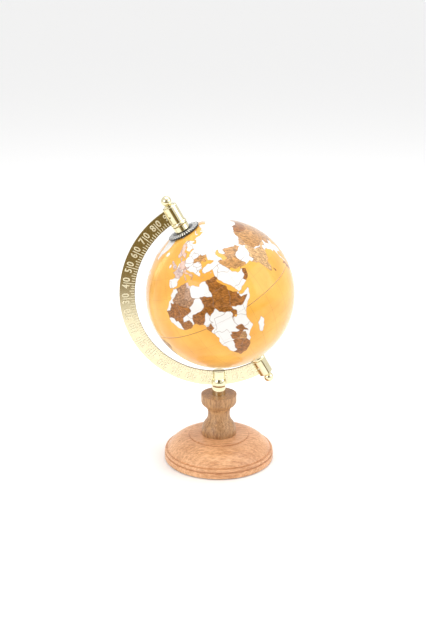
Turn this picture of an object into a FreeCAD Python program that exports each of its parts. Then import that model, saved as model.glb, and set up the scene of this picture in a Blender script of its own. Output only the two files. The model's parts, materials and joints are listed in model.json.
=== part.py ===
import FreeCAD, Part
import os
import re
import Sketcher

# Desk globe on a turned wooden stand, in millimetres. Z is up, and the origin
# is the middle of the felt under the base. The ball turns on two screws held
# by a graduated brass semi-meridian, which slides in the slot of a brass post.
# The semi-meridian lies in the XZ plane and the north pole leans towards -X.

SIZES = [
    # ball
    ("ball_dia", 127.0, "ball over the printed map"),
    ("paper", 0.25, "thickness of the printed map"),
    ("shell_wall", 1.8, "wall of the two half shells"),
    ("glue_gap", 0.05, "glue line between glued pieces"),
    ("joiner_wall", 1.4, "ring glued inside the equator, wall"),
    ("joiner_half", 6.0, "ring glued inside the equator, half height"),
    # polar bushes in the ball
    ("pivot_dia", 4.0, "shank of the pivot screws"),
    ("run_gap", 0.05, "running clearance round a shank, radial"),
    ("bush_wall", 2.0, "bush wall"),
    ("bush_length", 13.5, "bush below the ball's surface"),
    ("flange_dia", 13.0, "bush flange across"),
    ("flange_rise", 0.5, "bush flange above the ball's surface"),
    ("flange_bed", 0.05, "bush flange sunk into the map"),
    ("flange_bevel", 0.3, "bevel round the bush flange"),
    ("washer_thick", 0.4, "thrust washers"),
    ("washer_dia", 8.6, "thrust washers across"),
    ("thrust_gap", 0.06, "end play beside each thrust washer"),
    # hour disc
    ("disc_dia", 28.0, "hour disc across"),
    ("disc_thick", 0.8, "hour disc"),
    ("disc_lift", 1.15, "hour disc's underside above the ball"),
    # semi-meridian
    ("arc_gap", 8.1, "ball's surface to the semi-meridian"),
    ("arc_width", 12.9, "semi-meridian, inner to outer edge"),
    ("arc_thick", 1.8, "semi-meridian plate"),
    ("end_gap", 0.4, "pivot screw to the cut end of the plate"),
    ("tilt", 29.0, "lean of the pole axis from upright, degrees"),
    ("ball_drop", 2.0, "ball's centre from the semi-meridian's, towards the south pole"),
    # clamps, pins, collars and pivot screws at the poles
    ("clamp_dia", 12.6, "clamp barrel across"),
    ("clamp_over", 1.5, "clamp barrel past the plate's outer edge"),
    ("clamp_under", 0.3, "clamp barrel past the plate's inner edge"),
    ("clamp_fit", 0.02, "side clearance of the plate in a clamp"),
    ("clamp_bevel", 0.5, "bevel round both ends of a clamp"),
    ("pin_dia", 1.5, "clamp cross pin"),
    ("pin_edge", 1.7, "cut end of the plate to the cross pin"),
    ("collar_dia", 14.0, "collar bead across"),
    ("collar_neck", 13.2, "collar below its bead, across"),
    ("collar_bead", 3.4, "height of the collar bead"),
    ("collar_swell", 0.9, "swell of the collar bead past its ends"),
    ("finial_ball", 8.7, "ball head of a pivot screw"),
    ("finial_neck", 5.2, "neck under the ball head, across"),
    ("finial_foot", 9.4, "foot of the head, across"),
    ("finial_foot_rise", 0.8, "height of the foot"),
    ("finial_neck_rise", 0.5, "neck between foot and ball head"),
    ("finial_reach", 12.5, "shank below the ball's surface"),
    # post
    ("post_foot", 8.6, "post below its slot"),
    ("post_foot_dia", 11.8, "post at the column"),
    ("post_bead_dia", 13.1, "post bead across"),
    ("post_bead_low", 7.7, "post foot to the bead's lower edge"),
    ("post_bead_rise", 7.3, "height of the bead"),
    ("post_bore_spare", 0.4, "bore above the tie rod's end"),
    ("post_top_dia", 10.8, "post above the bead"),
    ("post_rise", 0.1, "post top below the plate's inner edge"),
    ("slot_play", 0.35, "side clearance of the plate and its relief in the slot"),
    ("floor_gap", 0.2, "plate above the slot's floor"),
    ("screw_dia", 3.0, "set screw"),
    ("screw_seat", 3.6, "post top down to the set screw"),
    ("screw_gap", 0.05, "set screw's tip to the plate"),
    ("screw_sink", 0.4, "set screw's head inside the post's surface"),
    ("key_size", 1.5, "hexagon key of the set screw, across corners"),
    ("key_depth", 1.4, "depth of the key socket"),
    # column
    ("column_height", 37.2, "column above the base"),
    ("column_cap_dia", 31.2, "column's top disc"),
    ("column_cap_rise", 6.6, "rim of the top disc"),
    ("column_ovolo_dia", 25.0, "foot of the moulding under the disc"),
    ("column_ovolo_rise", 3.9, "height of that moulding"),
    ("column_ovolo_round", 4.4, "radius of its section"),
    ("column_quirk", 0.5, "groove under the moulding, in and up"),
    ("column_waist_dia", 19.5, "straight waist of the column"),
    ("column_waist_low", 18.5, "waist's lower end above the base"),
    ("column_waist_rise", 1.3, "height of the straight waist"),
    ("column_cove_round", 10.4, "radius of the hollows beside the waist"),
    ("column_foot_dia", 30.6, "column at the base"),
    ("column_foot_rise", 2.4, "straight foot of the column"),
    ("column_bell_dia", 25.2, "bell of the column, upper end"),
    ("column_bell_height", 10.9, "bell's upper end above the base"),
    ("column_bell_round", 15.0, "radius of the bell's section"),
    ("spigot_dia", 16.0, "column's spigot in the base"),
    ("spigot_length", 7.0, "length of the spigot"),
    # base
    ("felt_thick", 1.0, "felt under the base"),
    ("felt_dia", 92.0, "felt across"),
    ("base_height", 21.7, "wooden base"),
    ("plinth_dia", 96.6, "plinth across"),
    ("plinth_rise", 4.3, "straight side of the plinth"),
    ("cove_dia", 94.4, "groove above the plinth, across"),
    ("cove_rise", 0.9, "height of that groove"),
    ("bead_dia", 96.0, "bead across"),
    ("bead_rise", 3.0, "height of the bead"),
    ("bead_swell", 1.1, "swell of the bead past its edges"),
    ("dome_dia", 91.0, "foot of the dome, across"),
    ("dome_round", 27.0, "radius of the dome's section"),
    ("quirk_rise", 0.5, "shelf between bead and dome"),
    ("step_dia", 52.4, "raised ring on the dome, across"),
    ("step_low", 20.3, "foot of the ring above the base's underside"),
    ("step_rise", 0.8, "edge of the ring"),
    # tie rod
    ("rod_dia", 5.0, "tie rod"),
    ("rod_play", 0.3, "tie rod in the wood, radial"),
    ("rod_grip", 6.4, "tie rod in the post"),
    ("recess_play", 2.0, "recess round the washer, radial"),
    ("recess_depth", 8.0, "depth of the recess"),
    ("rod_washer_dia", 15.0, "washer under the nut"),
    ("rod_washer_thick", 1.2, "washer under the nut"),
    ("nut_corners", 9.2, "nut across its corners"),
    ("nut_height", 4.0, "nut"),
    ("rod_tail", 1.2, "tie rod below the nut"),
]

doc = FreeCAD.newDocument("desk_globe")
sheet = doc.addObject("Spreadsheet::Sheet", "Sizes")
for row, (word, number, note) in enumerate(SIZES, start=1):
    sheet.set(f"A{row}", note)
    sheet.set(f"B{row}", str(number))
    sheet.setAlias(f"B{row}", word)
doc.recompute()

# Lengths that follow from the sizes. BALL is the ball's radius, from its own
# centre. GRIP is the meridian's inner radius and RIM its outer one, from the
# meridian's centre, which lies ball_drop from the ball's along the pole axis.
BALL = "(ball_dia / 2)"
GRIP = "(ball_dia / 2 + arc_gap)"
RIM = "(ball_dia / 2 + arc_gap + arc_width)"
COLUMN_FOOT = "(felt_thick + base_height)"
COLUMN_TOP = "(felt_thick + base_height + column_height)"
CENTRE = f"({COLUMN_TOP} + post_foot + floor_gap + {RIM})"
SHANK = "(pivot_dia / 2)"
PLATE_END = "(pivot_dia / 2 + end_gap)"
PIN_SEAT = "(pivot_dia / 2 + end_gap + pin_edge)"
BORE = "(pivot_dia / 2 + run_gap)"
FLANGE_TOP = f"({BALL} + flange_rise)"
WASHER_FOOT = f"({FLANGE_TOP} + thrust_gap)"
WASHER_TOP = f"({WASHER_FOOT} + washer_thick)"
DISC_UNDER = f"({BALL} + disc_lift)"
CLAMP_FOOT = f"({GRIP} - clamp_under)"
CLAMP_TOP = f"({RIM} + clamp_over)"

aliases = {word for word, number, note in SIZES}
made = []


def formula(text):
    """The same formula with each size pointed at its cell in the sheet."""
    return re.sub(r"[a-z_]+", lambda m: f"Sizes.{m[0]}" if m[0] in aliases else m[0], text)


def value(text):
    """The number that a formula of sizes gives now."""
    return float(sheet.evalExpression(formula(text)))


def bind(thing, **sizes):
    """Tie properties of a feature to formulas of sizes."""
    for name, text in sizes.items():
        thing.setExpression(name.replace("__", "."), formula(text))


def new_body(label, height="0", turn="0", axis=(0, -1, 0)):
    """A body whose own origin stands at a height on the stand's axis."""
    body = doc.addObject("PartDesign::Body", label)
    body.Label = label
    rotation = FreeCAD.Rotation(FreeCAD.Vector(*axis), value(turn))
    body.Placement = FreeCAD.Placement(FreeCAD.Vector(0, 0, value(height)), rotation)
    if height != "0":
        bind(body, Placement__Base__z=height)
    if turn != "0":
        bind(body, Placement__Rotation__Angle=turn)
    made.append(body)
    return body


def plane(body, role):
    """One of the body's own origin planes."""
    return next(item for item in body.Origin.OriginFeatures if item.Role == role)


def sketch_on(body, role, name):
    """An empty sketch on one of the body's own planes."""
    sketch = body.newObject("Sketcher::SketchObject", name)
    sketch.AttachmentSupport = [(plane(body, role), "")]
    sketch.MapMode = "FlatFace"
    return sketch


def pin_down(sketch, edge, end, across, up):
    """Fix one end of an edge at two distances from the sketch's origin."""
    for kind, text, line in (("DistanceX", across, -2), ("DistanceY", up, -1)):
        number = value(text)
        if abs(number) < 1e-9:
            sketch.addConstraint(Sketcher.Constraint("PointOnObject", edge, end, line))
            continue
        ends = (-1, 1, edge, end) if number > 0 else (edge, end, -1, 1)
        place = sketch.addConstraint(Sketcher.Constraint(kind, *ends, abs(number)))
        sign = "" if number > 0 else "-"
        sketch.setExpression(f"Constraints[{place}]", formula(f"{sign}({text})"))


def arc_between(start, finish, radius, left):
    """The arc from start to finish that keeps its centre on the left or right."""
    chord = finish - start
    side = FreeCAD.Vector(-chord.y, chord.x, 0).normalize() * (1 if left else -1)
    reach = (max(radius ** 2 - chord.Length ** 2 / 4, 0)) ** 0.5
    centre = (start + finish) * 0.5 + side * reach
    first, last = (start, finish) if left else (finish, start)
    circle = Part.Circle(centre, FreeCAD.Vector(0, 0, 1), radius)
    return Part.ArcOfCircle(circle, circle.parameter(first), circle.parameter(last))


def outline(sketch, steps):
    """A closed outline. A step is (across, up), reached by a straight edge, or
    (across, up, radius, "left" or "right"), reached by an arc whose centre is
    on that side of the way there."""
    points = [FreeCAD.Vector(value(step[0]), value(step[1]), 0) for step in steps]
    starts, finishes = [], []
    for number, step in enumerate(steps):
        start, finish = points[number - 1], points[number]
        if len(step) == 2:
            edge = sketch.addGeometry(Part.LineSegment(start, finish))
            ends = (1, 2)
        else:
            left = step[3] == "left"
            edge = sketch.addGeometry(arc_between(start, finish, value(step[2]), left))
            ends = (1, 2) if left else (2, 1)
            bend = sketch.addConstraint(Sketcher.Constraint("Radius", edge, value(step[2])))
            sketch.setExpression(f"Constraints[{bend}]", formula(step[2]))
        starts.append((edge, ends[0]))
        finishes.append((edge, ends[1]))
    for number, step in enumerate(steps):
        following = starts[(number + 1) % len(steps)]
        sketch.addConstraint(Sketcher.Constraint("Coincident", *finishes[number], *following))
        pin_down(sketch, *finishes[number], step[0], step[1])


def turned(body, steps, name="Turned"):
    """Revolve an outline of (radius, height) steps about the body's Z axis."""
    sketch = sketch_on(body, "XZ_Plane", name + "Outline")
    outline(sketch, steps)
    turn = body.newObject("PartDesign::Revolution", name)
    turn.Profile = sketch
    turn.ReferenceAxis = (sketch, ["V_Axis"])
    turn.Angle = 360
    sketch.Visibility = False
    return turn


def swell(chord, rise):
    """Radius of an arc that stands a rise proud of its chord."""
    return f"((({chord}) ^ 2 / 4 + ({rise}) ^ 2) / (2 * ({rise})))"


def tube(body, inner, outer, low, high):
    """Turn a plain tube, or a rod where the inner radius is "0"."""
    return turned(body, [(inner, low), (outer, low), (outer, high), (inner, high)])


def cut_box(body, name, size, corner):
    """Cut a box of three sizes away, from its lowest corner."""
    box = body.newObject("PartDesign::SubtractiveBox", name)
    bind(box, Length=size[0], Width=size[1], Height=size[2])
    bind(box, Placement__Base__x=corner[0], Placement__Base__y=corner[1],
         Placement__Base__z=corner[2])
    return box


def cut_round(body, name, radius, length, foot, heading):
    """Cut a round hole away, from its foot along a heading."""
    hole = body.newObject("PartDesign::SubtractiveCylinder", name)
    direction = FreeCAD.Rotation(FreeCAD.Vector(0, 0, 1), FreeCAD.Vector(*heading))
    hole.Placement = FreeCAD.Placement(FreeCAD.Vector(0, 0, 0), direction)
    bind(hole, Radius=radius, Height=length)
    bind(hole, Placement__Base__x=foot[0], Placement__Base__y=foot[1],
         Placement__Base__z=foot[2])
    return hole


# ---------------------------------------------------------------- the stand

# Felt disc glued under the base.
tube(new_body("felt_pad"), "0", "felt_dia / 2", "0", "felt_thick")

# Wooden base, turned: plinth, groove, bead, shelf, dome and a raised ring that
# frames the column. Below it has a recess for the nut, above it the socket
# for the column's spigot.
BEAD_FOOT = "(plinth_rise + cove_rise)"
BEAD_TOP = "(plinth_rise + cove_rise + bead_rise)"
DOME_FOOT = "(plinth_rise + cove_rise + bead_rise + quirk_rise)"
BEAD_ROOT = "(bead_dia / 2 - bead_swell)"
base = new_body("wooden_base", height="felt_thick")
turned(base, [
    ("rod_dia / 2 + rod_play", "recess_depth"),
    ("rod_washer_dia / 2 + recess_play", "recess_depth"),
    ("rod_washer_dia / 2 + recess_play", "0"),
    ("plinth_dia / 2", "0"),
    ("plinth_dia / 2", "plinth_rise"),
    ("cove_dia / 2", "plinth_rise + cove_rise / 2"),
    (BEAD_ROOT, BEAD_FOOT),
    (BEAD_ROOT, BEAD_TOP, swell("bead_rise", "bead_swell"), "left"),
    ("dome_dia / 2", BEAD_TOP),
    ("dome_dia / 2", DOME_FOOT),
    ("step_dia / 2", "step_low", "dome_round", "left"),
    ("step_dia / 2", "step_low + step_rise"),
    ("column_foot_dia / 2 + glue_gap", "base_height"),
    ("spigot_dia / 2 + glue_gap", "base_height"),
    ("spigot_dia / 2 + glue_gap", "base_height - spigot_length - glue_gap"),
    ("rod_dia / 2 + rod_play", "base_height - spigot_length - glue_gap"),
])

# Wooden column, turned from a second piece of wood, grain upright: bell foot,
# waist, moulding and top disc, with a spigot glued into the base.
OVOLO_FOOT = "(column_height - column_cap_rise - column_ovolo_rise)"
turned(new_body("wooden_column", height=COLUMN_FOOT), [
    ("rod_dia / 2 + rod_play", "-spigot_length"),
    ("spigot_dia / 2", "-spigot_length"),
    ("spigot_dia / 2", "0"),
    ("column_foot_dia / 2", "0"),
    ("column_foot_dia / 2", "column_foot_rise"),
    ("column_bell_dia / 2", "column_bell_height", "column_bell_round", "left"),
    ("column_waist_dia / 2", "column_waist_low", "column_cove_round", "right"),
    ("column_waist_dia / 2", "column_waist_low + column_waist_rise"),
    ("column_ovolo_dia / 2 - column_quirk", f"{OVOLO_FOOT} - column_quirk",
     "column_cove_round", "right"),
    ("column_ovolo_dia / 2 - column_quirk", OVOLO_FOOT),
    ("column_ovolo_dia / 2", OVOLO_FOOT),
    ("column_cap_dia / 2", "column_height - column_cap_rise", "column_ovolo_round", "left"),
    ("column_cap_dia / 2", "column_height"),
    ("rod_dia / 2 + rod_play", "column_height"),
])

# Tie rod, washer and nut, which pull the post down on the column and base.
NUT_TOP = "(felt_thick + recess_depth - rod_washer_thick)"
tube(new_body("tie_rod"), "0", "rod_dia / 2",
     f"{NUT_TOP} - nut_height - rod_tail", f"{COLUMN_TOP} + rod_grip")
tube(new_body("tie_rod_washer"), "rod_dia / 2 + rod_play", "rod_washer_dia / 2",
     NUT_TOP, f"{NUT_TOP} + rod_washer_thick")
nut = new_body("tie_rod_nut", height=f"{NUT_TOP} - nut_height")
prism = nut.newObject("PartDesign::AdditivePrism", "Hexagon")
prism.Polygon = 6
bind(prism, Circumradius="nut_corners / 2", Height="nut_height")
cut_round(nut, "Thread", "rod_dia / 2", "nut_height", ("0", "0", "0"), (0, 0, 1))

# Brass post, turned: foot, bead and a slotted top in which the semi-meridian
# slides. The tie rod screws in below, the set screw in the back.
SLOT_WIDTH = "(arc_thick + 2 * slot_play)"
POST_TOP = "(post_foot + floor_gap + arc_width - post_rise)"
post = new_body("meridian_post", height=COLUMN_TOP)
turned(post, [
    ("0", "rod_grip + post_bore_spare"),
    ("rod_dia / 2", "rod_grip + post_bore_spare"),
    ("rod_dia / 2", "0"),
    ("post_foot_dia / 2", "0"),
    ("post_foot_dia / 2", "post_bead_low"),
    ("post_top_dia / 2", "post_bead_low + post_bead_rise",
     swell("post_bead_rise", "post_bead_dia / 2 - (post_foot_dia + post_top_dia) / 4"), "left"),
    ("post_top_dia / 2", POST_TOP),
    ("0", POST_TOP),
])
cut_box(post, "Slot", ("2 * post_bead_dia", SLOT_WIDTH, f"{POST_TOP} - post_foot"),
        ("-post_bead_dia", f"-{SLOT_WIDTH} / 2", "post_foot"))
cut_round(post, "ScrewHole", "screw_dia / 2", "post_top_dia / 2",
          ("0", "0", f"{POST_TOP} - screw_seat"), (0, 1, 0))

# Set screw in the back of the post: its tip bears on the plate and sets how
# hard the semi-meridian slides.
SCREW_TIP = "(arc_thick / 2 + screw_gap)"
screw = new_body("post_set_screw", height=f"{COLUMN_TOP} + {POST_TOP} - screw_seat",
                 turn="90", axis=(-1, 0, 0))
tube(screw, "0", "screw_dia / 2", SCREW_TIP, "post_top_dia / 2 - screw_sink")
socket = screw.newObject("PartDesign::SubtractivePrism", "KeySocket")
socket.Polygon = 6
bind(socket, Circumradius="key_size / 2", Height="key_depth",
     Placement__Base__z="post_top_dia / 2 - screw_sink - key_depth")

# -------------------------------------------------------- the semi-meridian

# Each pole has its own axis: the body's Z runs out through that pole, the
# plate is on the side given by a sign along its X, and the ball's surface is
# at the length given from the meridian's centre.
POLES = {
    "north": {"turn": "tilt", "axis": (0, -1, 0), "side": -1, "ball": f"({BALL} - ball_drop)"},
    "south": {"turn": "180 - tilt", "axis": (0, 1, 0), "side": 1, "ball": f"({BALL} + ball_drop)"},
}


def pole_body(pole, label):
    """A body at the meridian's centre with its Z axis out through a pole."""
    return new_body(label, height=CENTRE, turn=POLES[pole]["turn"], axis=POLES[pole]["axis"])


def ball_body(pole, label):
    """The same at the ball's centre."""
    body = new_body(label, height=f"{CENTRE} - ball_drop * cos(tilt * 1deg)",
                    turn=POLES[pole]["turn"], axis=POLES[pole]["axis"])
    bind(body, Placement__Base__x="ball_drop * sin(tilt * 1deg)")
    return body


# Brass plate: half a flat ring round the ball, cut off square just short of
# the pole axis, with a cross-pin hole at each end.
plate = pole_body("north", "meridian_arc")
plate_sketch = sketch_on(plate, "XZ_Plane", "PlateOutline")
outline(plate_sketch, [
    (f"-{PLATE_END}", f"sqrt({RIM} ^ 2 - {PLATE_END} ^ 2)"),
    (f"-{PLATE_END}", f"-sqrt({RIM} ^ 2 - {PLATE_END} ^ 2)", RIM, "left"),
    (f"-{PLATE_END}", f"-sqrt({GRIP} ^ 2 - {PLATE_END} ^ 2)"),
    (f"-{PLATE_END}", f"sqrt({GRIP} ^ 2 - {PLATE_END} ^ 2)", GRIP, "right"),
])
pad = plate.newObject("PartDesign::Pad", "Plate")
pad.Profile = plate_sketch
pad.Midplane = True
bind(pad, Length="arc_thick")
plate_sketch.Visibility = False
PIN_LEVEL = f"({GRIP} + arc_width / 2)"
for end, level in (("North", PIN_LEVEL), ("South", f"-{PIN_LEVEL}")):
    cut_round(plate, f"{end}PinHole", "pin_dia / 2", "arc_thick",
              (f"-{PIN_SEAT}", "-arc_thick / 2", level), (0, 1, 0))

for pole in POLES:
    side = POLES[pole]["side"]
    sign = "" if side > 0 else "-"

    # Clamp barrel: bored for the pivot screw, slotted from one side for the
    # end of the plate, and cross-drilled for the pin.
    clamp = pole_body(pole, f"{pole}_clamp")
    turned(clamp, [
        (SHANK, CLAMP_FOOT),
        ("clamp_dia / 2 - clamp_bevel", CLAMP_FOOT),
        ("clamp_dia / 2", f"{CLAMP_FOOT} + clamp_bevel"),
        ("clamp_dia / 2", f"{CLAMP_TOP} - clamp_bevel"),
        ("clamp_dia / 2 - clamp_bevel", CLAMP_TOP),
        (SHANK, CLAMP_TOP),
    ])
    slot_start = f"{PLATE_END} - clamp_fit" if side > 0 else \
        f"-{PLATE_END} + clamp_fit - clamp_dia / 2"
    cut_box(clamp, "PlateSlot",
            ("clamp_dia / 2", "arc_thick + 2 * clamp_fit", f"{CLAMP_TOP} - {CLAMP_FOOT}"),
            (slot_start, "-arc_thick / 2 - clamp_fit", CLAMP_FOOT))
    cut_round(clamp, "PinHole", "pin_dia / 2", "clamp_dia",
              (f"{sign}{PIN_SEAT}", "-clamp_dia / 2", PIN_LEVEL), (0, 1, 0))

    # Cross pin through barrel and plate, filed flush with the barrel.
    pin = pole_body(pole, f"{pole}_clamp_pin")
    rod = pin.newObject("PartDesign::AdditiveCylinder", "Pin")
    rod.Placement = FreeCAD.Placement(
        FreeCAD.Vector(0, 0, 0), FreeCAD.Rotation(FreeCAD.Vector(0, 0, 1), FreeCAD.Vector(0, 1, 0)))
    half = f"sqrt((clamp_dia / 2) ^ 2 - ({PIN_SEAT} + pin_dia / 2) ^ 2)"
    bind(rod, Radius="pin_dia / 2", Height=f"2 * {half}", Placement__Base__x=f"{sign}{PIN_SEAT}",
         Placement__Base__y=f"-{half}", Placement__Base__z=PIN_LEVEL)

    # Pivot screw: ball head, neck and foot outside, and a plain shank that
    # runs through barrel and collar into the bush of the ball.
    BALL_SEAT = f"({CLAMP_TOP} + finial_foot_rise + finial_neck_rise)"
    HEAD = "(finial_ball / 2)"
    NECK = "(finial_neck / 2)"
    turned(pole_body(pole, f"{pole}_finial"), [
        ("0", f"{POLES[pole]['ball']} - finial_reach"),
        (SHANK, f"{POLES[pole]['ball']} - finial_reach"),
        (SHANK, CLAMP_TOP),
        ("finial_foot / 2", CLAMP_TOP),
        ("finial_foot / 2", f"{CLAMP_TOP} + finial_foot_rise"),
        (NECK, f"{CLAMP_TOP} + finial_foot_rise"),
        (NECK, BALL_SEAT),
        ("0", f"{BALL_SEAT} + sqrt({HEAD} ^ 2 - {NECK} ^ 2) + {HEAD}", HEAD, "left"),
    ])

    # Collar between the barrel and the ball: a bead on a narrower neck. The
    # north one holds the hour disc down, the south one carries the ball.
    foot = f"({DISC_UNDER} + disc_thick + thrust_gap - ball_drop)" if pole == "north" else \
        f"({WASHER_TOP} + thrust_gap + ball_drop)"
    bead_foot = f"({CLAMP_FOOT} - collar_bead)"
    turned(pole_body(pole, f"{pole}_collar"), [
        (SHANK, foot),
        ("collar_neck / 2", foot),
        ("collar_neck / 2", bead_foot),
        ("collar_dia / 2 - collar_swell", bead_foot),
        ("collar_dia / 2 - collar_swell", CLAMP_FOOT,
         swell("collar_bead", "collar_swell"), "left"),
        (SHANK, CLAMP_FOOT),
    ])

    # Thrust washer between the bush of the ball and what holds it in.
    tube(ball_body(pole, f"{pole}_washer"), BORE, "washer_dia / 2", WASHER_FOOT, WASHER_TOP)

# Hour disc: thin, dished like the ball, and free to turn on the north shank.
DISC_OVER = f"({DISC_UNDER} + disc_thick)"
EDGE = "(disc_dia / 2)"
turned(ball_body("north", "hour_disc"), [
    (BORE, f"sqrt({DISC_UNDER} ^ 2 - {BORE} ^ 2)"),
    (EDGE, f"sqrt({DISC_UNDER} ^ 2 - {EDGE} ^ 2)", DISC_UNDER, "right"),
    (EDGE, f"sqrt({DISC_OVER} ^ 2 - {EDGE} ^ 2)"),
    (BORE, f"sqrt({DISC_OVER} ^ 2 - {BORE} ^ 2)", DISC_OVER, "left"),
])

# ----------------------------------------------------------------- the ball

# Two half shells butted at the equator over a glued ring, each with a printed
# map pasted on and a flanged bush pressed into its pole.
SHELL = "(ball_dia / 2 - paper)"
SHELL_IN = "(ball_dia / 2 - paper - shell_wall)"
HOLE = "(pivot_dia / 2 + run_gap + bush_wall + glue_gap)"


def shell_steps(outer, inner):
    """Outline of a half shell between two radii, open at the pole."""
    return [
        (HOLE, f"sqrt({inner} ^ 2 - {HOLE} ^ 2)"),
        (inner, "0", inner, "right"),
        (outer, "0"),
        (HOLE, f"sqrt({outer} ^ 2 - {HOLE} ^ 2)", outer, "left"),
    ]


for pole in POLES:
    turned(ball_body(pole, f"{pole}_hemisphere"), shell_steps(SHELL, SHELL_IN))
    turned(ball_body(pole, f"{pole}_map"), shell_steps(BALL, f"({SHELL} + glue_gap)"))
    turned(ball_body(pole, f"{pole}_bush"), [
        (BORE, f"{BALL} - bush_length"),
        (f"{BORE} + bush_wall", f"{BALL} - bush_length"),
        (f"{BORE} + bush_wall", f"{BALL} - flange_bed"),
        ("flange_dia / 2", f"{BALL} - flange_bed"),
        ("flange_dia / 2", f"{FLANGE_TOP} - flange_bevel"),
        ("flange_dia / 2 - flange_bevel", FLANGE_TOP),
        (BORE, FLANGE_TOP),
    ])

# Ring glued inside both half shells at the equator.
RING_OUT = f"({SHELL_IN} - glue_gap)"
RING_IN = f"({SHELL_IN} - glue_gap - joiner_wall)"
turned(ball_body("north", "equator_ring"), [
    (RING_IN, "-joiner_half"),
    (f"sqrt({RING_OUT} ^ 2 - joiner_half ^ 2)", "-joiner_half"),
    (f"sqrt({RING_OUT} ^ 2 - joiner_half ^ 2)", "joiner_half", RING_OUT, "left"),
    (RING_IN, "joiner_half"),
])

# ---------------------------------------------------------- check and write

doc.recompute()
for thing in doc.Objects:
    broken = [state for state in thing.State if state in ("Invalid", "Error")]
    if broken:
        raise RuntimeError(f"{thing.Label}: {broken}")
for body in made:
    if body.Shape.isNull() or not body.Shape.isValid() or not body.Shape.Solids:
        raise RuntimeError(f"{body.Label}: no valid solid")

os.makedirs("parts", exist_ok=True)
for body in made:
    body.Shape.exportStep(f"parts/{body.Label}.step")
    print(f"{body.Label}: {body.Shape.Volume / 1000:.3f} cm3")
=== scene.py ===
# Desk globe: a printed ball turns between two screws in a graduated brass
# semi-meridian, which slides in the slot of a brass post on a turned wooden
# stand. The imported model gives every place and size; metres, Z up.
import json
import math

import bpy
import numpy as np
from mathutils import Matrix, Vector


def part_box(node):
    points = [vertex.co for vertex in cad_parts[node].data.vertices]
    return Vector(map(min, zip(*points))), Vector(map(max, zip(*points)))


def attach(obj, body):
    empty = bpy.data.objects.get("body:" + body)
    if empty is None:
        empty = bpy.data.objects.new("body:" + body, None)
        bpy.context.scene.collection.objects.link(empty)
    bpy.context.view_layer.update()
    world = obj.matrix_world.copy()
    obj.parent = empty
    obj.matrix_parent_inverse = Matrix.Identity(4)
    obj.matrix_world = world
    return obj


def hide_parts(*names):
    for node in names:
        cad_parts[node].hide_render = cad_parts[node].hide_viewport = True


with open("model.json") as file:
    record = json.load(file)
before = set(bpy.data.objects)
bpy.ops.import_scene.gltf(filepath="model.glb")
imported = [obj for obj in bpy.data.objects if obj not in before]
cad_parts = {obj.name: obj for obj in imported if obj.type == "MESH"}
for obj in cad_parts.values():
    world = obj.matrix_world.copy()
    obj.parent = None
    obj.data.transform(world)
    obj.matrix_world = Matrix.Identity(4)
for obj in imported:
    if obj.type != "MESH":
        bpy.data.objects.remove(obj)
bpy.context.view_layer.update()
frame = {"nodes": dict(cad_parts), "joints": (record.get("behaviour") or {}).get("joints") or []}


# --------------------------------------------------------------------- camera
# The stand is seen from a little above and a little to the left, with a long
# lens.
camera_data = bpy.data.cameras.new("camera")
camera_data.lens = 59.0
camera = bpy.data.objects.new("camera", camera_data)
bpy.context.scene.collection.objects.link(camera)
REACH, AIM = 0.900, 0.1280
RISE, ROUND, PAN = math.radians(18.4), math.radians(7.5), math.radians(0.347)
camera.location = (-REACH * math.cos(RISE) * math.sin(ROUND),
                   -REACH * math.cos(RISE) * math.cos(ROUND), AIM + REACH * math.sin(RISE))
camera.rotation_euler = (math.pi / 2 - RISE, 0, PAN - ROUND)
bpy.context.scene.camera = camera
bpy.context.scene.view_settings.view_transform = "Standard"


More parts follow.
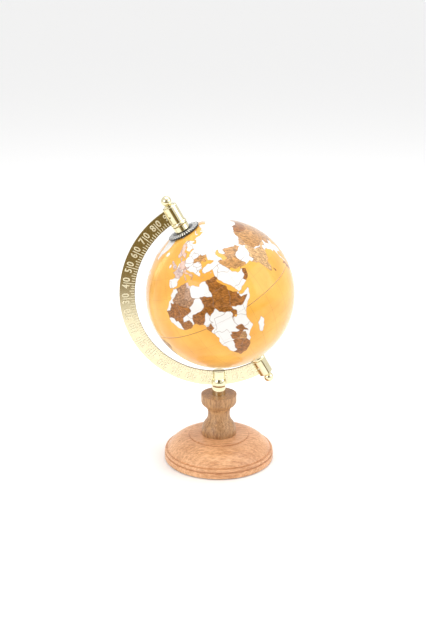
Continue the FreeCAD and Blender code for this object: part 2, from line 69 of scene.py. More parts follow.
# --------------------------------------------------------------------- studio
# A white table top under a white tent of light, with an opening for the
# camera. Beyond the table's front edge lies the room's brown floor: only
# polished faces show it.
class Signal:
    """An output socket of a material's nodes, with arithmetic on it."""

    def __init__(self, tree, socket):
        self.tree, self.socket = tree, socket

    def node(self, kind, settings=None, out=0, **sockets):
        """Add a node: settings first, then sockets by name, or by place as in_0."""
        node = self.tree.nodes.new(kind)
        for key, value in (settings or {}).items():
            setattr(node, key, value)
        for key, value in sockets.items():
            name = int(key[3:]) if key.startswith("in_") else key.replace("_", " ")
            if isinstance(value, Signal):
                self.tree.links.new(value.socket, node.inputs[name])
            else:
                node.inputs[name].default_value = value
        return Signal(self.tree, node.outputs[out])

    def maths(self, operation, first, second=0.0):
        return self.node("ShaderNodeMath", {"operation": operation}, in_0=first, in_1=second)

    def __add__(self, other):
        return self.maths("ADD", self, other)

    def __sub__(self, other):
        return self.maths("SUBTRACT", self, other)

    def __mul__(self, other):
        return self.maths("MULTIPLY", self, other)

    def __truediv__(self, other):
        return self.maths("DIVIDE", self, other)

    def __radd__(self, other):
        return self.maths("ADD", other, self)

    def __rsub__(self, other):
        return self.maths("SUBTRACT", other, self)

    def size(self):
        return self.maths("ABSOLUTE", self)

    def root(self):
        return self.maths("SQRT", self)

    def fraction(self):
        return self.maths("FRACT", self)

    def most(self, other):
        return self.maths("MAXIMUM", self, other)

    def least(self, other):
        return self.maths("MINIMUM", self, other)

    def ramp(self, low, high):
        """0 below low, 1 above high, and a smooth step between."""
        return self.node("ShaderNodeMapRange", {"interpolation_type": "SMOOTHSTEP"},
                         Value=self, From_Min=low, From_Max=high)

    def blend(self, first, second):
        """The colour between first and second that this share gives."""
        first, second = [c if isinstance(c, Signal) else (*c, 1) for c in (first, second)]
        return self.node("ShaderNodeMix", {"data_type": "RGBA"}, out=2, in_0=self, in_6=first,
                         in_7=second)

    def less(self, point):
        return self.node("ShaderNodeVectorMath", {"operation": "SUBTRACT"}, in_0=self,
                         in_1=tuple(point))

    def along(self, direction):
        """How far this vector reaches along a direction."""
        return self.node("ShaderNodeVectorMath", {"operation": "DOT_PRODUCT"}, out=1, in_0=self,
                         in_1=tuple(direction))

    def length(self):
        return self.node("ShaderNodeVectorMath", {"operation": "LENGTH"}, out=1, in_0=self)

    def stretch(self, factors):
        return self.node("ShaderNodeVectorMath", {"operation": "MULTIPLY"}, in_0=self,
                         in_1=tuple(factors))

    def noise(self, scale, detail=3.0, roughness=0.5, distortion=0.0):
        return self.node("ShaderNodeTexNoise", Vector=self, Scale=scale, Detail=detail,
                         Roughness=roughness, Distortion=distortion)


class Finish:
    """A material: Object coordinates to read, and a shader to feed."""

    def __init__(self, name, **constants):
        self.material = bpy.data.materials.new(name)
        self.material.use_nodes = True
        self.tree = self.material.node_tree
        self.shader = self.tree.nodes["Principled BSDF"]
        place = self.tree.nodes.new("ShaderNodeTexCoord")
        self.place = Signal(self.tree, place.outputs["Object"])
        self.feed(**constants)

    def feed(self, **sockets):
        """Link signals to the shader's sockets, or set constants on them."""
        for key, value in sockets.items():
            socket = self.shader.inputs[key.replace("_", " ")]
            if isinstance(value, Signal):
                self.tree.links.new(value.socket, socket)
            else:
                socket.default_value = (*value, 1) if isinstance(value, tuple) else value

    def bump(self, height, depth, strength=1.0):
        """Roughen the surface by a height between 0 and 1, depth metres deep."""
        self.feed(Normal=height.node("ShaderNodeBump", Strength=strength, Distance=depth,
                                     Height=height))

    def split(self):
        """The X, Y and Z of the Object coordinates."""
        return [self.place.along(axis) for axis in ((1, 0, 0), (0, 1, 0), (0, 0, 1))]

    def read(self, name):
        """A mesh's own number of that name."""
        return self.place.node("ShaderNodeAttribute", {"attribute_name": name}, out=2)

    def on(self, *nodes):
        """Give this finish to CAD nodes."""
        for node in nodes:
            for slot in frame["nodes"][node].material_slots:
                slot.material = self.material


def mesh_object(name, points, faces, finish, smooth=True):
    """An object at the origin from arrays of points and faces."""
    mesh = bpy.data.meshes.new(name)
    mesh.from_pydata(np.asarray(points).tolist(), [], [tuple(face) for face in faces])
    mesh.materials.append(finish.material)
    mesh.polygons.foreach_set("use_smooth", [smooth] * len(mesh.polygons))
    thing = bpy.data.objects.new(name, mesh)
    bpy.context.scene.collection.objects.link(thing)
    return thing


def sheet(name, corners, finish):
    """A flat four-cornered sheet that isn't part of the object."""
    thing = mesh_object(name, corners, [(0, 1, 2, 3)], finish, smooth=False)
    return thing


paper = Finish("table_paper", Roughness=0.85, Specular_IOR_Level=0.2)
tooth = paper.place.noise(900.0, 2.0)
paper.feed(Base_Color=tooth.blend((0.93, 0.93, 0.93), (0.96, 0.96, 0.96)))
paper.bump(tooth, 0.0001, 0.1)
SPREAD = 60.0
sheet("table", [(-SPREAD, -SPREAD, 0), (SPREAD, -SPREAD, 0), (SPREAD, SPREAD, 0),
                (-SPREAD, SPREAD, 0)], paper)

# The room's floor darkens away from the table.
room = Finish("dark_room", Roughness=0.9, Specular_IOR_Level=0.0)
boards = room.place.stretch((1, 6, 1)).noise(3.0)
shade = room.place.along((0, -1, 0)).ramp(0.33, 0.58)
room.feed(Base_Color=shade.blend((0.95, 0.95, 0.95), boards.blend((0.155, 0.108, 0.038),
                                                                 (0.205, 0.145, 0.055))))
HALF_ROOM, NEAR, FAR_WALL, LIFT = 1.6, -0.40, -3.4, 0.002
before_table = sheet("room_before_table", [
    (-HALF_ROOM, FAR_WALL, LIFT), (HALF_ROOM, FAR_WALL, LIFT), (HALF_ROOM, NEAR, LIFT),
    (-HALF_ROOM, NEAR, LIFT)], room)
before_table.visible_camera = before_table.visible_diffuse = False
before_table.visible_shadow = before_table.visible_transmission = False

world = bpy.data.worlds.new("tent")
world.use_nodes = True
sky = world.node_tree
outlook = Signal(sky, sky.nodes.new("ShaderNodeTexCoord").outputs["Generated"])
towards = np.array([-math.cos(RISE) * math.sin(ROUND), -math.cos(RISE) * math.cos(ROUND),
                    math.sin(RISE)])
OPEN_WITHIN, SHUT_BEYOND = math.radians(15), math.radians(26)
opening = outlook.along(towards).ramp(math.cos(SHUT_BEYOND), math.cos(OPEN_WITHIN))
tent = opening.blend((1.0, 1.0, 1.0), (0.20, 0.17, 0.12))
sky.links.new(tent.socket, sky.nodes["Background"].inputs["Color"])
sky.nodes["Background"].inputs["Strength"].default_value = 0.97
bpy.context.scene.world = world


spin = next(joint for joint in frame["joints"] if joint["name"] == "globe_spin")
CENTRE = np.array(spin["pos_m"])


def soft_light(name, place, size, power):
    """A square lamp of soft light, aimed at the ball's centre."""
    lamp_data = bpy.data.lights.new(name, "AREA")
    lamp_data.shape, lamp_data.size, lamp_data.energy = "SQUARE", size, power
    lamp = bpy.data.objects.new(name, lamp_data)
    lamp.location = place
    away = Vector(place) - Vector(CENTRE)
    lamp.rotation_euler = away.to_track_quat("Z", "Y").to_euler()
    bpy.context.scene.collection.objects.link(lamp)


soft_light("overhead", (0.15, 0.1, 1.3), 1.0, 9.0)
soft_light("left", (-1.0, -0.9, 0.55), 0.7, 5.0)
soft_light("right", (1.1, -0.5, 0.7), 0.8, 4.0)


# --------------------------------------------------------------- felt and steel
# A disc of pressed wool felt is glued under the base. Above it, in a recess,
# zinc-plated steel hardware pulls the stand together.
felt = Finish("green_felt", Roughness=0.95, Sheen_Weight=0.5, Specular_IOR_Level=0.15)
fibres = felt.place.noise(1500.0, 5.0, 0.7)
clumps = felt.place.noise(180.0, 3.0, 0.6)
felt.feed(Base_Color=(fibres * 0.7 + clumps * 0.3).blend((0.012, 0.035, 0.018),
                                                         (0.06, 0.11, 0.06)))
felt.bump(fibres, 0.0004, 0.7)
felt.on("felt_pad")

steel = Finish("zinc_steel", Metallic=1.0)
grain = steel.place.stretch((1, 1, 8)).noise(700.0, 4.0, 0.6)
bloom = steel.place.noise(260.0, 3.0, 0.5)
steel.feed(Base_Color=bloom.blend((0.42, 0.42, 0.44), (0.66, 0.66, 0.67)),
           Roughness=0.25 + grain * 0.3)
steel.bump(grain, 0.00003, 0.5)
steel.on("tie_rod", "tie_rod_washer", "tie_rod_nut", "post_set_screw")


# ----------------------------------------------------------------- wooden base
# The base is turned from a flat board, so its grain lies level and the dome
# cuts the growth rings into long ovals. The turned grooves are painted darker,
# part old varnish and part painted shade.
def timber(name, grain_axis, pith, tones, pore_and_shade_tone, ring_width, grooves, **constants):
    """Wood cut from a log whose pith runs along grain_axis through a point.

    Rings are bands of distance from the pith, bent by slow noise. Figure,
    streaks and pores are noise drawn out along the grain, and glints are fine
    even noise. Each groove is a height, a radius and a width."""
    wood = Finish(name, **constants)
    across = [0.0 if axis == grain_axis else 1.0 for axis in range(3)]
    drawn = [0.11 if axis == grain_axis else 1.0 for axis in range(3)]
    sway = wood.place.stretch([c * 0.6 + 0.12 for c in across]).noise(26.0, 3.0, 0.5)
    from_pith = wood.place.less(pith).stretch(across).length()
    late = ((from_pith + sway * 0.012) / ring_width).fraction().ramp(0.35, 0.95)
    figure = wood.place.stretch([d + 0.02 for d in drawn]).noise(120.0, 5.0, 0.62)
    streak = wood.place.stretch([d * 0.75 + 0.2 for d in drawn]).noise(760.0, 4.0, 0.7)
    patch = wood.place.noise(60.0, 2.0).ramp(0.35, 0.7)
    pores = wood.place.stretch(drawn).noise(900.0, 2.0, 0.5).ramp(0.54, 0.68)
    pores = pores * (0.35 + patch * 0.65)
    blush = wood.place.stretch([d * 0.5 + 0.3 for d in drawn]).noise(42.0, 3.0, 0.6)
    glint = wood.place.noise(1500.0, 2.0, 0.6).ramp(0.56, 0.70)

    x, y, z = wood.split()
    from_axis = (x * x + y * y).root()
    # Each turned groove is painted darker: part dirt, part painted shade.
    groove_dirt_and_shade = 0.0
    for height, radius, width in grooves:
        near = (z - height).size().most((from_axis - radius).size())
        groove_dirt_and_shade = (1 - near.ramp(width * 0.3, width)).most(groove_dirt_and_shade)

    colour = (late * 0.06 + figure * 0.34 + streak * 0.76).ramp(0.39, 0.73).blend(*tones)
    colour = (blush.ramp(0.46, 0.66) * 0.34).blend(colour, pore_and_shade_tone)
    colour = (glint * 0.35).blend(colour, tones[1])
    colour = (pores * 0.62).blend(colour, pore_and_shade_tone)
    # The grooves darken towards the pore tone, as dirt and as painted shade.
    wood.feed(Base_Color=(groove_dirt_and_shade * 0.34).blend(colour, pore_and_shade_tone),
              Roughness=0.36 + streak * 0.16 + pores * 0.2)
    wood.bump(1 - pores * 0.8 + streak * 0.2, 0.00012, 0.45)
    return wood


BASE_GROOVES = ((0.0058, 0.0474, 0.0009), (0.0095, 0.0466, 0.0010), (0.0214, 0.0264, 0.0009),
                (0.0226, 0.0153, 0.0009))
base_wood = timber("base_wood", 0, (0.0, 0.055, -0.030),
                   ((0.56, 0.258, 0.104), (0.88, 0.505, 0.266)), (0.36, 0.135, 0.050), 0.0030,
                   BASE_GROOVES, Coat_Weight=0.25, Coat_Roughness=0.22)
base_wood.on("wooden_base")


# --------------------------------------------------------------- wooden column
# The column is a second turning, with its grain upright and coarser, darker
# pores. It is painted darker under its head and round the post's foot, part dirt
# and part painted shade.
COLUMN_GROOVES = ((0.0492, 0.0122, 0.0010), (0.0600, 0.0060, 0.0012))
column_wood = timber("column_wood", 2, (0.021, 0.030, 0.0),
                     ((0.27, 0.125, 0.046), (0.57, 0.320, 0.138)), (0.10, 0.042, 0.016), 0.0022,
                     COLUMN_GROOVES, Coat_Weight=0.15, Coat_Roughness=0.30)
column_wood.on("wooden_column")


# ----------------------------------------------------------------- brass parts
# Post, clamps, collars, pins and pivot screws are turned from brass rod,
# polished bright and lacquered. Fine level lines cross them.
def scratched_brass(name, lines=(1.0, 1.0, 1.0)):
    """Polished brass and its hairline scratches, which lines draw out."""
    brass = Finish(name, Metallic=1.0)
    scratch = brass.place.stretch(lines).noise(1500.0, 3.0, 0.7)
    brass.bump(scratch, 0.000012, 0.35)
    return brass, scratch


def dull(brass, scratch, least):
    """Roughen brass from least up, and return its cloudy lacquer and dull spots."""
    cloud = brass.place.noise(190.0, 4.0, 0.6)
    spots = brass.place.noise(620.0, 2.0, 0.4).ramp(0.66, 0.78)
    brass.feed(Roughness=least + cloud * 0.05 + scratch.ramp(0.5, 0.8) * 0.08 + spots * 0.15)
    return cloud, spots


turned_brass, lathe_lines = scratched_brass("turned_brass", (0.5, 0.5, 6.0))
lacquer, dull_spots = dull(turned_brass, lathe_lines, 0.06)
turned_brass.feed(Base_Color=(lacquer.ramp(0.3, 0.8) * 0.5 + dull_spots * 0.5).blend(
    (0.82, 0.755, 0.52), (0.68, 0.58, 0.34)))
turned_brass.on("meridian_post", *(f"{pole}_{piece}" for pole in ("north", "south")
                                   for piece in ("clamp", "clamp_pin", "finial", "collar")))


# --------------------------------------------------------------- semi-meridian
# The semi-meridian is stamped from brass sheet and polished on its faces. Its
# inner edge, where it was cut, is coloured dark brown and made rougher. HUB is
# its centre, and NORTH the axis that it holds; FRONT is square to its face and
# EAST a quarter turn on from it.
slide = next(joint for joint in frame["joints"] if joint["name"] == "meridian_tilt")
HUB = np.array(slide["pos_m"])
NORTH = np.array(spin["axis"]) / np.linalg.norm(spin["axis"])
FRONT = np.array([0.0, -1.0, 0.0])
EAST = np.cross(NORTH, FRONT)
RIM = HUB[2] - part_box("meridian_arc")[0].z
PLATE_WIDTH = 0.0129
PLATE_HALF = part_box("meridian_arc")[1].y

plate_brass = scratched_brass("plate_brass")[0]
from_hub = plate_brass.place.less(HUB).stretch((1, 0, 1)).length()
cut_edge = 1 - from_hub.ramp(RIM - PLATE_WIDTH + 0.00005, RIM - PLATE_WIDTH + 0.00025)
stain = plate_brass.place.noise(500.0, 3.0)
face_tone = stain.blend((0.84, 0.76, 0.53), (0.74, 0.65, 0.41))
plate_brass.feed(Base_Color=(cut_edge * 0.8).blend(face_tone, (0.20, 0.12, 0.045)),
                 Roughness=0.09 + stain * 0.06 + cut_edge * 0.35)
plate_brass.on("meridian_arc")

# Its numerals and divisions stand up from the front face. Their tops are
# brushed by the polishing wheel, and patina is left on the slopes round them.
RELIEF = 0.00026
SLOPE = 0.00015
SUNK = 0.00002
relief_brass, wheel_lines = scratched_brass("relief_brass")
dull(relief_brass, wheel_lines, 0.45)
lift = relief_brass.place.along(FRONT) - PLATE_HALF
patina = relief_brass.place.noise(800.0, 3.0).blend((0.13, 0.095, 0.035), (0.24, 0.18, 0.08))
relief_brass.feed(Base_Color=lift.ramp(RELIEF * 0.45, RELIEF * 0.9).blend(
    patina, (1.0, 0.94, 0.70)))


def on_plate(turn, outward, lift):
    """A point on the plate: turn from the north pole, distance out, lift off it."""
    turn, outward, lift = np.broadcast_arrays(turn, outward, lift)
    direction = np.cos(turn)[..., None] * NORTH - np.sin(turn)[..., None] * EAST
    return HUB + outward[..., None] * direction + (PLATE_HALF + lift)[..., None] * FRONT


def bar_relief(turns, inner, outer, width):
    """Raised bars: four foot corners and four drawn-in top corners for each."""
    turns = np.asarray(turns)[:, None]
    corners = np.array([(-1, 0), (1, 0), (1, 1), (-1, 1)])
    reach = np.array([inner, outer])[corners[:, 1]]
    foot_reach = reach + np.array([-SLOPE, SLOPE])[corners[:, 1]]
    foot = on_plate(turns + corners[:, 0] * (width / 2 + SLOPE) / foot_reach, foot_reach, -SUNK)
    top = on_plate(turns + corners[:, 0] * width / 2 / reach, reach, RELIEF)
    points = np.concatenate([foot, top], axis=1).reshape(-1, 3)
    box = np.array([(0, 1, 5, 4), (1, 2, 6, 5), (2, 3, 7, 6), (3, 0, 4, 7), (4, 5, 6, 7),
                    (3, 2, 1, 0)])
    faces = box[None] + 8 * np.arange(len(turns))[:, None, None]
    return points, faces.reshape(-1, 4)


DIGIT_TALL = 0.0064
DIGIT_SLIM = 0.84
DIGIT_APART = 0.0060
DIGIT_MIDDLE = RIM - 0.0050


def glyph(character):
    """Points and faces of one numeral on the XY plane, 1 tall and centred.

    Its outline swells halfway through its thickness, where it meets the plate,
    so the half above the plate slopes in to the printed shape."""
    letter = bpy.data.curves.new("glyph", "FONT")
    letter.body, letter.extrude, letter.offset = character, 0.0, 0.018
    letter.bevel_depth, letter.bevel_resolution = SLOPE / DIGIT_TALL * 0.7, 0
    letter.resolution_u = 5
    holder = bpy.data.objects.new("glyph", letter)
    bpy.context.scene.collection.objects.link(holder)
    mesh = bpy.data.meshes.new_from_object(
        holder.evaluated_get(bpy.context.evaluated_depsgraph_get()))
    points = np.array([vertex.co for vertex in mesh.vertices])
    faces = [tuple(face.vertices) for face in mesh.polygons]
    bpy.data.objects.remove(holder)
    bpy.data.curves.remove(letter)
    bpy.data.meshes.remove(mesh)
    low, high = points.min(0), points.max(0)
    points = (points - (low + high) / 2) / (high[1] - low[1])
    points[:, 2] /= points[:, 2].max()
    return points, faces


numerals = {digit: glyph(digit) for digit in "0123456789"}


def digit_relief(digit, turn, offset):
    """A numeral on the plate, its head outwards, offset along the arc."""
    points, faces = numerals[digit]
    outward = DIGIT_MIDDLE + points[:, 1] * DIGIT_TALL
    along = turn - (offset + points[:, 0] * DIGIT_TALL * DIGIT_SLIM) / DIGIT_MIDDLE
    return on_plate(along, outward, points[:, 2] * RELIEF), faces


def gather(shapes):
    """Join several (points, faces) into one."""
    faces, count = [], 0
    for some_points, some_faces in shapes:
        faces.extend(tuple(int(corner) + count for corner in face) for face in some_faces)
        count += len(some_points)
    return np.concatenate([some_points for some_points, some_faces in shapes]), faces


# The scale runs 90 to 0 and back to 90: a bar at every ten degrees, a long
# tick halfway to the next, and two short ticks on each side of it. It is
# shifted towards the south end; the first bar and the zero of the first 90
# would lie in the north clamp, so they are left out.
DECADE, DECADES, PARTS = math.radians(10.0), 18, 6
SHIFT = math.radians(3.0)
CLAMP_END = math.radians(9)
INNER, BAR_END = RIM - PLATE_WIDTH + 0.0005, RIM - 0.0026
BAR, LONG_TICK, SHORT_TICK = 0.00065, 0.0040, 0.0028
step_turns = SHIFT + DECADE / PARTS * np.arange(0, DECADES * PARTS - 2)
kinds = np.arange(len(step_turns)) % PARTS
shapes = [bar_relief(step_turns[kinds == 0][1:], INNER, BAR_END, BAR),
          bar_relief(step_turns[kinds == 3], INNER, INNER + LONG_TICK, BAR),
          bar_relief(step_turns[(kinds % 3) > 0], INNER, INNER + SHORT_TICK, BAR)]
for decade in range(DECADES):
    turn = decade * DECADE + SHIFT
    tens, units = f"{abs(9 - decade) * 10:02d}"
    if turn > CLAMP_END:
        shapes.append(digit_relief(units, turn, DIGIT_APART / 2))
    shapes.append(digit_relief(tens, turn, -DIGIT_APART / 2))
scale = mesh_object("meridian_scale", *gather(shapes), relief_brass, smooth=False)
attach(scale, "meridian")


# ------------------------------------------------------------------- hour disc
# A thin dished disc, stove-enamelled black, with a white mark printed at every
# ten degrees round its edge. It turns on the north screw.
MARKS = 36
MARK_START, MARK_END = 0.0092, 0.0136
enamel = Finish("black_enamel", Coat_Weight=0.35, Coat_Roughness=0.08, Specular_IOR_Level=0.3)
from_centre = enamel.place.less(CENTRE)
forward, sideways = from_centre.along(FRONT), from_centre.along(EAST)
reach = (forward * forward + sideways * sideways).root()
turn = forward.maths("ARCTAN2", sideways, forward) * (MARKS / math.tau)
mark = 1 - ((turn + 100.5).fraction() - 0.5).size().ramp(0.14, 0.22)
mark = mark * reach.ramp(MARK_START, MARK_START + 0.0003)
mark = mark * (1 - reach.ramp(MARK_END - 0.0002, MARK_END))
worn = enamel.place.noise(700.0, 3.0, 0.5)
enamel.feed(Base_Color=mark.blend(worn.blend((0.010, 0.010, 0.012), (0.025, 0.025, 0.028)),
                                  (0.85, 0.85, 0.83)),
            Roughness=0.25 + worn * 0.15)
enamel.bump(mark, 0.00003, 0.3)
enamel.on("hour_disc")


# ----------------------------------------------------------- inside of the ball
# Moulded nylon bushes sit in the ball's poles, with thin nylon thrust washers
# outside them. The half shells and the ring that joins them are cream plastic.
nylon = Finish("nylon", Roughness=0.5, Subsurface_Weight=0.05)
speckle = nylon.place.noise(500.0, 3.0)
nylon.feed(Base_Color=speckle.blend((0.70, 0.68, 0.60), (0.83, 0.81, 0.74)),
           Roughness=0.42 + speckle * 0.2)
nylon.bump(speckle, 0.00004, 0.4)
nylon.on("north_bush", "south_bush", "north_washer", "south_washer")

shell = Finish("shell_plastic")
fleck = shell.place.noise(420.0, 4.0)
shell.feed(Base_Color=fleck.blend((0.70, 0.66, 0.56), (0.82, 0.79, 0.70)),
           Roughness=0.5 + fleck * 0.2)
shell.bump(fleck, 0.00005, 0.4)
shell.on("north_hemisphere", "south_hemisphere", "equator_ring")


